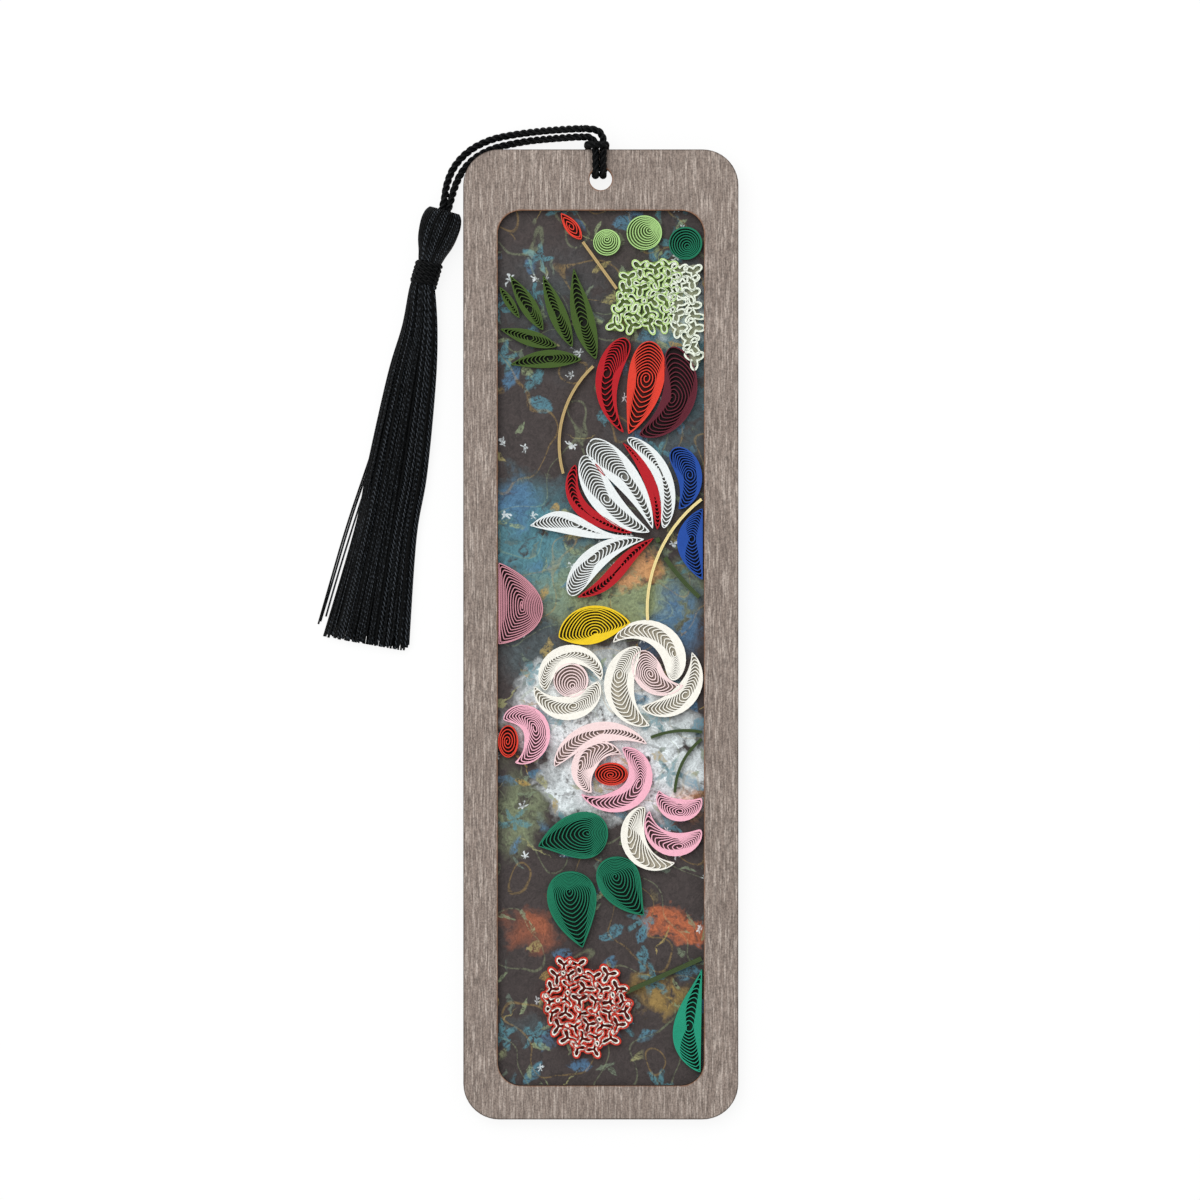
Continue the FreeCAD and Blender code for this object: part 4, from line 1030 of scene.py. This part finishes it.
# The tassel's cuts: x, y, half width, half height, middle height in mm
HEAD_CUTS = [
    (-28.72, 77.85, 2.9, 1.5, 2.2), (-28.97, 76.97, 3.5, 2.3, 2.4), (-29.51, 75.11, 3.75, 2.8, 2.8),
    (-30.32, 72.32, 3.4, 2.7, 2.7), (-31.00, 70.00, 2.6, 2.4, 2.5), (-31.40, 68.60, 2.2, 2.1, 2.6),
    (-31.85, 67.05, 1.6, 1.6, 2.6),
]
SKIRT_CUTS = [
    (-32.35, 65.32, 1.6, 1.6, 2.6), (-32.79, 63.80, 2.4, 2.0, 2.6), (-33.3, 56.1, 3.4, 2.1, 2.1),
    (-34.8, 46.9, 4.6, 1.9, 1.9), (-37.5, 30.3, 5.7, 1.6, 1.6), (-39.6, 18.7, 5.9, 1.4, 1.4),
    (-43.2, -1.8, 8.2, 1.1, 1.1),
]
# Three threads that have come away at the left
STRAYS = [
    [(-40.6, 38.0, 1.0), (-43.2, 30.5, 0.4), (-46.8, 20.0, 0.25), (-50.2, 8.2, 0.25), (-52.0, 1.9, 0.25)],
    [(-40.4, 37.5, 1.0), (-42.9, 30.3, 0.4), (-46.4, 20.0, 0.25), (-49.8, 8.2, 0.25), (-51.6, 2.4, 0.25)],
    [(-41.0, 33.0, 1.0), (-43.2, 27.5, 0.4), (-45.9, 19.1, 0.25), (-48.8, 9.7, 0.25), (-50.6, 3.3, 0.25)],
]
# The neck that the cord is wound round: its ends, the winding's radius and number of turns, in mm
NECK = Vector((-31.4, 68.6, 2.6))
NECK_END = Vector((-32.79, 63.80, 2.6))
WRAP_RADIUS = 2.05
WRAPS = 5
STEPS_A_WRAP = 28
# Each thread is turned by this from the last one, which fills a bundle evenly
GOLDEN_ANGLE = 2.39996


def cut_between(cuts, along):
    """A cut of the tassel at a share of its length, on a smooth line through the given cuts."""
    spot = along * (len(cuts) - 1)
    place = min(int(spot), len(cuts) - 2)
    t = spot - place
    before, first, last, after = (cuts[max(0, min(len(cuts) - 1, place + step))] for step in (-1, 0, 1, 2))
    return [
        0.5 * (2 * b + (c - a) * t + (2 * a - 5 * b + 4 * c - d) * t * t + (3 * b - a - 3 * c + d) * t ** 3)
        for a, b, c, d in zip(before, first, last, after)
    ]


def bundle_point(cuts, along, angle, depth, radius):
    """A point in the bundle: angle is round its oval cut, depth is 1 at its surface."""
    x, y, half_width, half_height, height = cut_between(cuts, along)
    ahead = cut_between(cuts, min(1, along + 0.01))
    behind = cut_between(cuts, max(0, along - 0.01))
    way = Vector((ahead[0] - behind[0], ahead[1] - behind[1], 0)).normalized()
    across = Vector((-way.y, way.x, 0))
    point = Vector((x, y, height)) + across * (math.cos(angle) * depth * (half_width - radius))
    point.z += math.sin(angle) * depth * (half_height - radius)
    return Vector((point.x, point.y, max(point.z, radius + 0.02)))


def tassel_threads(cuts, count, steps, radius, seed, twist, ragged, spread):
    """Lines of threads through a bundle, each with its own wander and painted highlight. Spread 0 keeps them outside.
    """
    chance = random.Random(seed)
    lines = []
    lustre = []
    for thread in range(count):
        depth = 1.0 if spread == 0 else math.sqrt((thread + 0.5) / count)
        angle = thread * GOLDEN_ANGLE if spread else 2 * math.pi * thread / count
        sway = chance.uniform(-0.12, 0.12) * spread
        beat = chance.uniform(3, 8)
        phase = chance.uniform(0, 6.28)
        end = 1 - chance.random() ** 2 * ragged
        # Each thread's own share of painted highlight
        bright = chance.uniform(0.3, 1.1)
        line = []
        for step in range(steps + 1):
            along = end * step / steps
            turn = angle + twist * along + sway * math.sin(beat * along + phase) + spread * 0.3 * sway * along
            reach = min(1.0, depth * (1 + 0.1 * sway * math.sin(beat * 1.7 * along)))
            line.append(bundle_point(cuts, along, turn, reach, radius) * MM)
            lustre.append(bright)
        lines.append(line)
    return lines, lustre


def make_core(name, cuts, shrink, material, node):
    """A smooth closed core inside the threads, so that nothing shows through them."""
    steps = 24
    sides = 20
    shape = bmesh.new()
    rings = []
    for step in range(steps + 1):
        angles = [2 * math.pi * side / sides for side in range(sides)]
        points = [bundle_point(cuts, step / steps, angle, shrink, 0.1) * MM for angle in angles]
        rings.append([shape.verts.new(point) for point in points])
    for near, far in zip(rings, rings[1:]):
        for side in range(sides):
            after = (side + 1) % sides
            shape.faces.new((near[side], near[after], far[after], far[side]))
    shape.faces.new(rings[0][::-1])
    shape.faces.new(rings[-1])
    if shape.calc_volume(signed=True) < 0:
        bmesh.ops.reverse_faces(shape, faces=shape.faces)
    mesh = bpy.data.meshes.new(name)
    shape.to_mesh(mesh)
    shape.free()
    mesh.materials.append(material)
    mesh.shade_smooth()
    piece = bpy.data.objects.new(name, mesh)
    bpy.context.scene.collection.objects.link(piece)
    place_piece(piece, [node], False)
    return piece


class QUILL_OT_camera(bpy.types.Operator):
    """Set the camera straight over the picture"""
    bl_idname = "quill.camera"
    bl_label = "Camera"

    def execute(self, context):
        studio = context.scene.quilled_studio
        camera = bpy.data.objects.new("overhead_camera", bpy.data.cameras.new("overhead_camera"))
        context.scene.collection.objects.link(camera)
        camera.location = (-0.15 * MM, 6.35 * MM, studio.distance)
        camera.data.sensor_width = 36
        camera.data.lens = 36 * studio.distance / studio.view
        camera.data.clip_end = 10
        context.scene.camera = camera
        return {"FINISHED"}


class QUILL_OT_cord_and_tassel(bpy.types.Operator):
    """Lay the hitched cord, its two free strands and the tassel"""
    bl_idname = "quill.cord_and_tassel"
    bl_label = "Cord and tassel"

    def execute(self, context):
        sizes = context.scene.quilled_cord
        radius = sizes.thread / 2 / MM
        tree = tree_of(thread_tree, "tassel_threads")
        thread = twisted_rayon("twisted_rayon_tassel", sizes, True)
        values = {"Thickness": sizes.thread, "Material": thread}

        lines, lustre = tassel_threads(HEAD_CUTS, 44, 22, radius, sizes.seed, 0.5, 0, 0)
        head = grown("tassel_head_threads", lines_mesh("head_lines", lines, lustre=lustre), tree, values)
        place_piece(head, ["tassel_head"], False)
        head_core = make_core("tassel_head_core", HEAD_CUTS, 0.93, thread, "tassel_head")

        along = (NECK_END - NECK).normalized()
        across = Vector((-along.y, along.x, 0))
        wrap = []
        steps = WRAPS * STEPS_A_WRAP
        for step in range(steps + 1):
            angle = 2 * math.pi * step / STEPS_A_WRAP
            middle = NECK.lerp(NECK_END, 0.1 + 0.8 * step / steps)
            lift = Vector((0, 0, WRAP_RADIUS * math.sin(angle)))
            wrap.append((middle + across * (WRAP_RADIUS * math.cos(angle)) + lift) * MM)
        binding = grown(
            "tassel_binding_wraps", lines_mesh("binding_line", [wrap]), tree_of(cord_tree, "three_ply_cord"),
            {"Diameter": 1.1 * MM, "Twist": 3.2 * MM, "Step": 0.25 * MM, "Material": cord_of(sizes)})
        place_piece(binding, ["tassel_binding"], False)

        lines, lustre = tassel_threads(SKIRT_CUTS, sizes.threads, 44, radius, sizes.seed + 1, 0.0, 0.05, 1)
        for place, stray in enumerate(STRAYS):
            way = spline_points("stray_thread", stray)
            lines.append(way)
            lustre.extend([0.5 + 0.2 * place] * len(way))
        skirt = grown("tassel_skirt_threads", lines_mesh("skirt_lines", lines, lustre=lustre), tree, values)
        place_piece(skirt, ["tassel_skirt"], False)

        make_cord_piece("hitched_cord", HITCH, "cord_hitch", True)
        for side, points in (("left", STRAND_LEFT), ("right", STRAND_RIGHT)):
            strand, way = make_cord_piece("cord_" + side, points, "cord_strand_" + side, False)
        return {"FINISHED"}


def finish_nodes(names, material):
    """Gives all of these CAD nodes' faces a material."""
    for name in names:
        mesh = frame["nodes"][name].data
        for place in range(len(mesh.materials)):
            mesh.materials[place] = material


class QUILL_OT_boards(bpy.types.Operator):
    """Give the two laser-cut boards their wood laminate"""
    bl_idname = "quill.boards"
    bl_label = "Laser-cut boards"

    def execute(self, context):
        finish_nodes(["back_board", "front_frame"], laser_cut_laminate(context.scene.quilled_boards))
        return {"FINISHED"}


class QUILL_OT_print(bpy.types.Operator):
    """Print the card that the flowers are glued on"""
    bl_idname = "quill.print"
    bl_label = "Printed card"

    def execute(self, context):
        finish_nodes(["picture_card"], printed_card(context.scene.quilled_print))
        return {"FINISHED"}


class QUILL_OT_leaves(bpy.types.Operator):
    """Wind the fern leaflets, the round leaves and the leaf at the edge"""
    bl_idname = "quill.leaves"
    bl_label = "Leaves"

    def execute(self, context):
        make_rolls([name for name in ROLLS if "leaf" in name])
        return {"FINISHED"}


class QUILL_OT_round_coils(bpy.types.Operator):
    """Wind the bud and the round coils at the top"""
    bl_idname = "quill.round_coils"
    bl_label = "Bud and round coils"

    def execute(self, context):
        make_rolls([name for name in ROLLS if name.endswith("coil") or name == "red_bud"])
        return {"FINISHED"}


class QUILL_OT_petals(bpy.types.Operator):
    """Wind the petals of the poppy, the tulip and the single flowers"""
    bl_idname = "quill.petals"
    bl_label = "Petals"

    def execute(self, context):
        make_rolls([name for name in ROLLS if "petal" in name or "tulip" in name])
        return {"FINISHED"}


class QUILL_OT_roses(bpy.types.Operator):
    """Wind the crescents and hearts of the roses and the side bud"""
    bl_idname = "quill.roses"
    bl_label = "Roses"

    def execute(self, context):
        make_rolls([name for name in ROLLS if "rose" in name or "crescent" in name or name == "side_bud_heart"])
        return {"FINISHED"}


class QUILL_OT_snowballs(bpy.types.Operator):
    """Set the flower heads of pinched loops"""
    bl_idname = "quill.snowballs"
    bl_label = "Flower heads"

    def execute(self, context):
        sizes = context.scene.quilled_strips
        tree = tree_of(loop_tree, "pinched_loops")
        for name, (outer, inner, outer_share, inner_share, size, spacing, rows) in CLUSTERS.items():
            places = cluster_places(rows, spacing, sizes.seed)
            points = [(x * MM, y * MM, CARD_FACE * MM + sizes.height / 2) for x, y in places]
            values = {
                "Reach": sizes.loop_reach * size, "Thickness": sizes.thickness, "Height": sizes.height,
                "Outer Share": outer_share, "Inner Share": inner_share, "Seed": sizes.seed,
                "Outer Material": paper_of(outer), "Inner Material": paper_of(inner)}
            piece = grown(name + "_loops", lines_mesh(name + "_points", [[point] for point in points]), tree, values)
            # Painted shade: a round sheet under each loop darkens the gaps between the loops
            shade_sheets = []
            for place, (x, y, _) in enumerate(points):
                # Each sheet of painted shade is a little higher than the last, so that no two share a level
                level = (CARD_FACE + SHADE_SHEET_LEVEL + 0.003 * place) * MM
                angles = [side * math.pi / 6 for side in range(12)]
                shade_sheets.append([
                    (x + SHADE_SHEET_REACH * MM * math.cos(angle), y + SHADE_SHEET_REACH * MM * math.sin(angle), level)
                    for angle in angles])
            lay_shade_sheets(piece, shade_sheets, gap_shade_of(outer))
            place_piece(piece, [name])
        return {"FINISHED"}


class QUILL_OT_stems(bpy.types.Operator):
    """Stand the stems on their edges"""
    bl_idname = "quill.stems"
    bl_label = "Stems"

    def execute(self, context):
        sizes = context.scene.quilled_strips
        tree = tree_of(strip_tree, "paper_strip_on_edge")
        for node, stems in STEMS.items():
            for number, (paper, start, end, bend, strips) in enumerate(stems):
                lines = []
                for strip in range(strips):
                    across = (strip - (strips - 1) / 2) * STEM_PITCH
                    flat = [beside_spine(start, end, bend, 0, step / 14, across) for step in range(15)]
                    lines.append([(x * MM, y * MM, CARD_FACE * MM + sizes.height / 2) for x, y in flat])
                values = {"Thickness": STEM_STRIP * MM, "Height": sizes.height, "Material": paper_of(paper)}
                name = node[:-1] + "_" + str(number + 1)
                piece = grown(name + "_strips", lines_mesh(name + "_lines", lines), tree, values)
                place_piece(piece, [node])
        return {"FINISHED"}


class QUILL_OT_stage(bpy.types.Operator):
    """Lay the white table and light it softly"""
    bl_idname = "quill.stage"
    bl_label = "Table and light"

    def execute(self, context):
        studio = context.scene.quilled_studio
        mesh = bpy.data.meshes.new("white_table")
        reach = 1.5
        corners = [(-reach, -reach, 0), (reach, -reach, 0), (reach, reach, 0), (-reach, reach, 0)]
        mesh.from_pydata(corners, [], [(0, 1, 2, 3)])
        table = bpy.data.objects.new("white_table", mesh)
        context.scene.collection.objects.link(table)
        # Painted table top, matt white
        material, tree, _, surface = new_material("white_table_matt_paint")
        surface.inputs["Base Color"].default_value = tuple(studio.table)
        surface.inputs["Roughness"].default_value = 0.9
        surface.inputs["Specular IOR Level"].default_value = 0.0
        # The camera and mirrors see the table mostly as plain white, with a light shadow left on it
        rays = add_node(tree, "ShaderNodeLightPath")
        seen = add_node(
            tree, "ShaderNodeMath", {0: rays.outputs["Is Camera Ray"], 1: rays.outputs["Is Glossy Ray"]},
            operation="MAXIMUM")
        share = add_node(tree, "ShaderNodeMath", {0: seen, 1: 0.88}, operation="MULTIPLY")
        white = add_node(tree, "ShaderNodeEmission", {"Color": (1, 1, 1, 1), "Strength": 1.0})
        both = add_node(tree, "ShaderNodeMixShader", {0: share, 1: surface, 2: white})
        add_node(tree, "ShaderNodeOutputMaterial", {"Surface": both}, is_active_output=True)
        mesh.materials.append(material)

        world = bpy.data.worlds.new("soft_studio")
        context.scene.world = world
        world.use_nodes = True
        sky = world.node_tree.nodes["Background"]
        sky.inputs["Color"].default_value = (1, 1, 1, 1)
        sky.inputs["Strength"].default_value = studio.sky

        light = bpy.data.lights.new("soft_box", "AREA")
        light.shape = "SQUARE"
        light.size = 0.9
        light.energy = studio.lamp
        lamp = bpy.data.objects.new("soft_box", light)
        lamp.location = (-0.35, 0.45, 1.0)
        lamp.rotation_euler = (Vector((0, 0, 0)) - lamp.location).to_track_quat("-Z", "Y").to_euler()
        context.scene.collection.objects.link(lamp)
        context.scene.view_settings.view_transform = "Standard"
        return {"FINISHED"}


STEPS = (
    QUILL_OT_camera, QUILL_OT_cord_and_tassel, QUILL_OT_boards, QUILL_OT_print, QUILL_OT_round_coils,
    QUILL_OT_leaves, QUILL_OT_petals, QUILL_OT_roses, QUILL_OT_snowballs, QUILL_OT_stems, QUILL_OT_stage,
)
GROUPS = {
    "quilled_strips": StripSizes, "quilled_papers": PaperColours, "quilled_boards": BoardColours,
    "quilled_print": PrintColours, "quilled_cord": CordSizes, "quilled_studio": StudioSettings,
}


class QUILL_PT_panel(bpy.types.Panel):
    """Lists the steps and their sizes"""
    bl_idname = "QUILL_PT_panel"
    bl_label = "Quilled flower picture"
    bl_space_type = "VIEW_3D"
    bl_region_type = "UI"
    bl_category = "Quilling"

    def draw(self, context):
        for step in STEPS:
            self.layout.operator(step.bl_idname)
        for group, kind in GROUPS.items():
            box = self.layout.box()
            for name in kind.__annotations__:
                box.prop(getattr(context.scene, group), name)


def register():
    """Registers the settings, the steps and the panel."""
    for kind in (*GROUPS.values(), *STEPS, QUILL_PT_panel):
        bpy.utils.register_class(kind)
    for group, kind in GROUPS.items():
        setattr(bpy.types.Scene, group, bpy.props.PointerProperty(type=kind))


def unregister():
    """Takes them out again."""
    for group in GROUPS:
        delattr(bpy.types.Scene, group)
    for kind in (QUILL_PT_panel, *reversed(STEPS), *reversed(list(GROUPS.values()))):
        bpy.utils.unregister_class(kind)


def main():
    """Runs the steps in order."""
    register()
    bpy.ops.quill.camera()
    bpy.ops.quill.cord_and_tassel()
    bpy.ops.quill.boards()
    bpy.ops.quill.print()
    bpy.ops.quill.round_coils()
    bpy.ops.quill.leaves()
    bpy.ops.quill.petals()
    bpy.ops.quill.roses()
    bpy.ops.quill.snowballs()
    bpy.ops.quill.stems()
    bpy.ops.quill.stage()


if __name__ == "__main__":
    main()
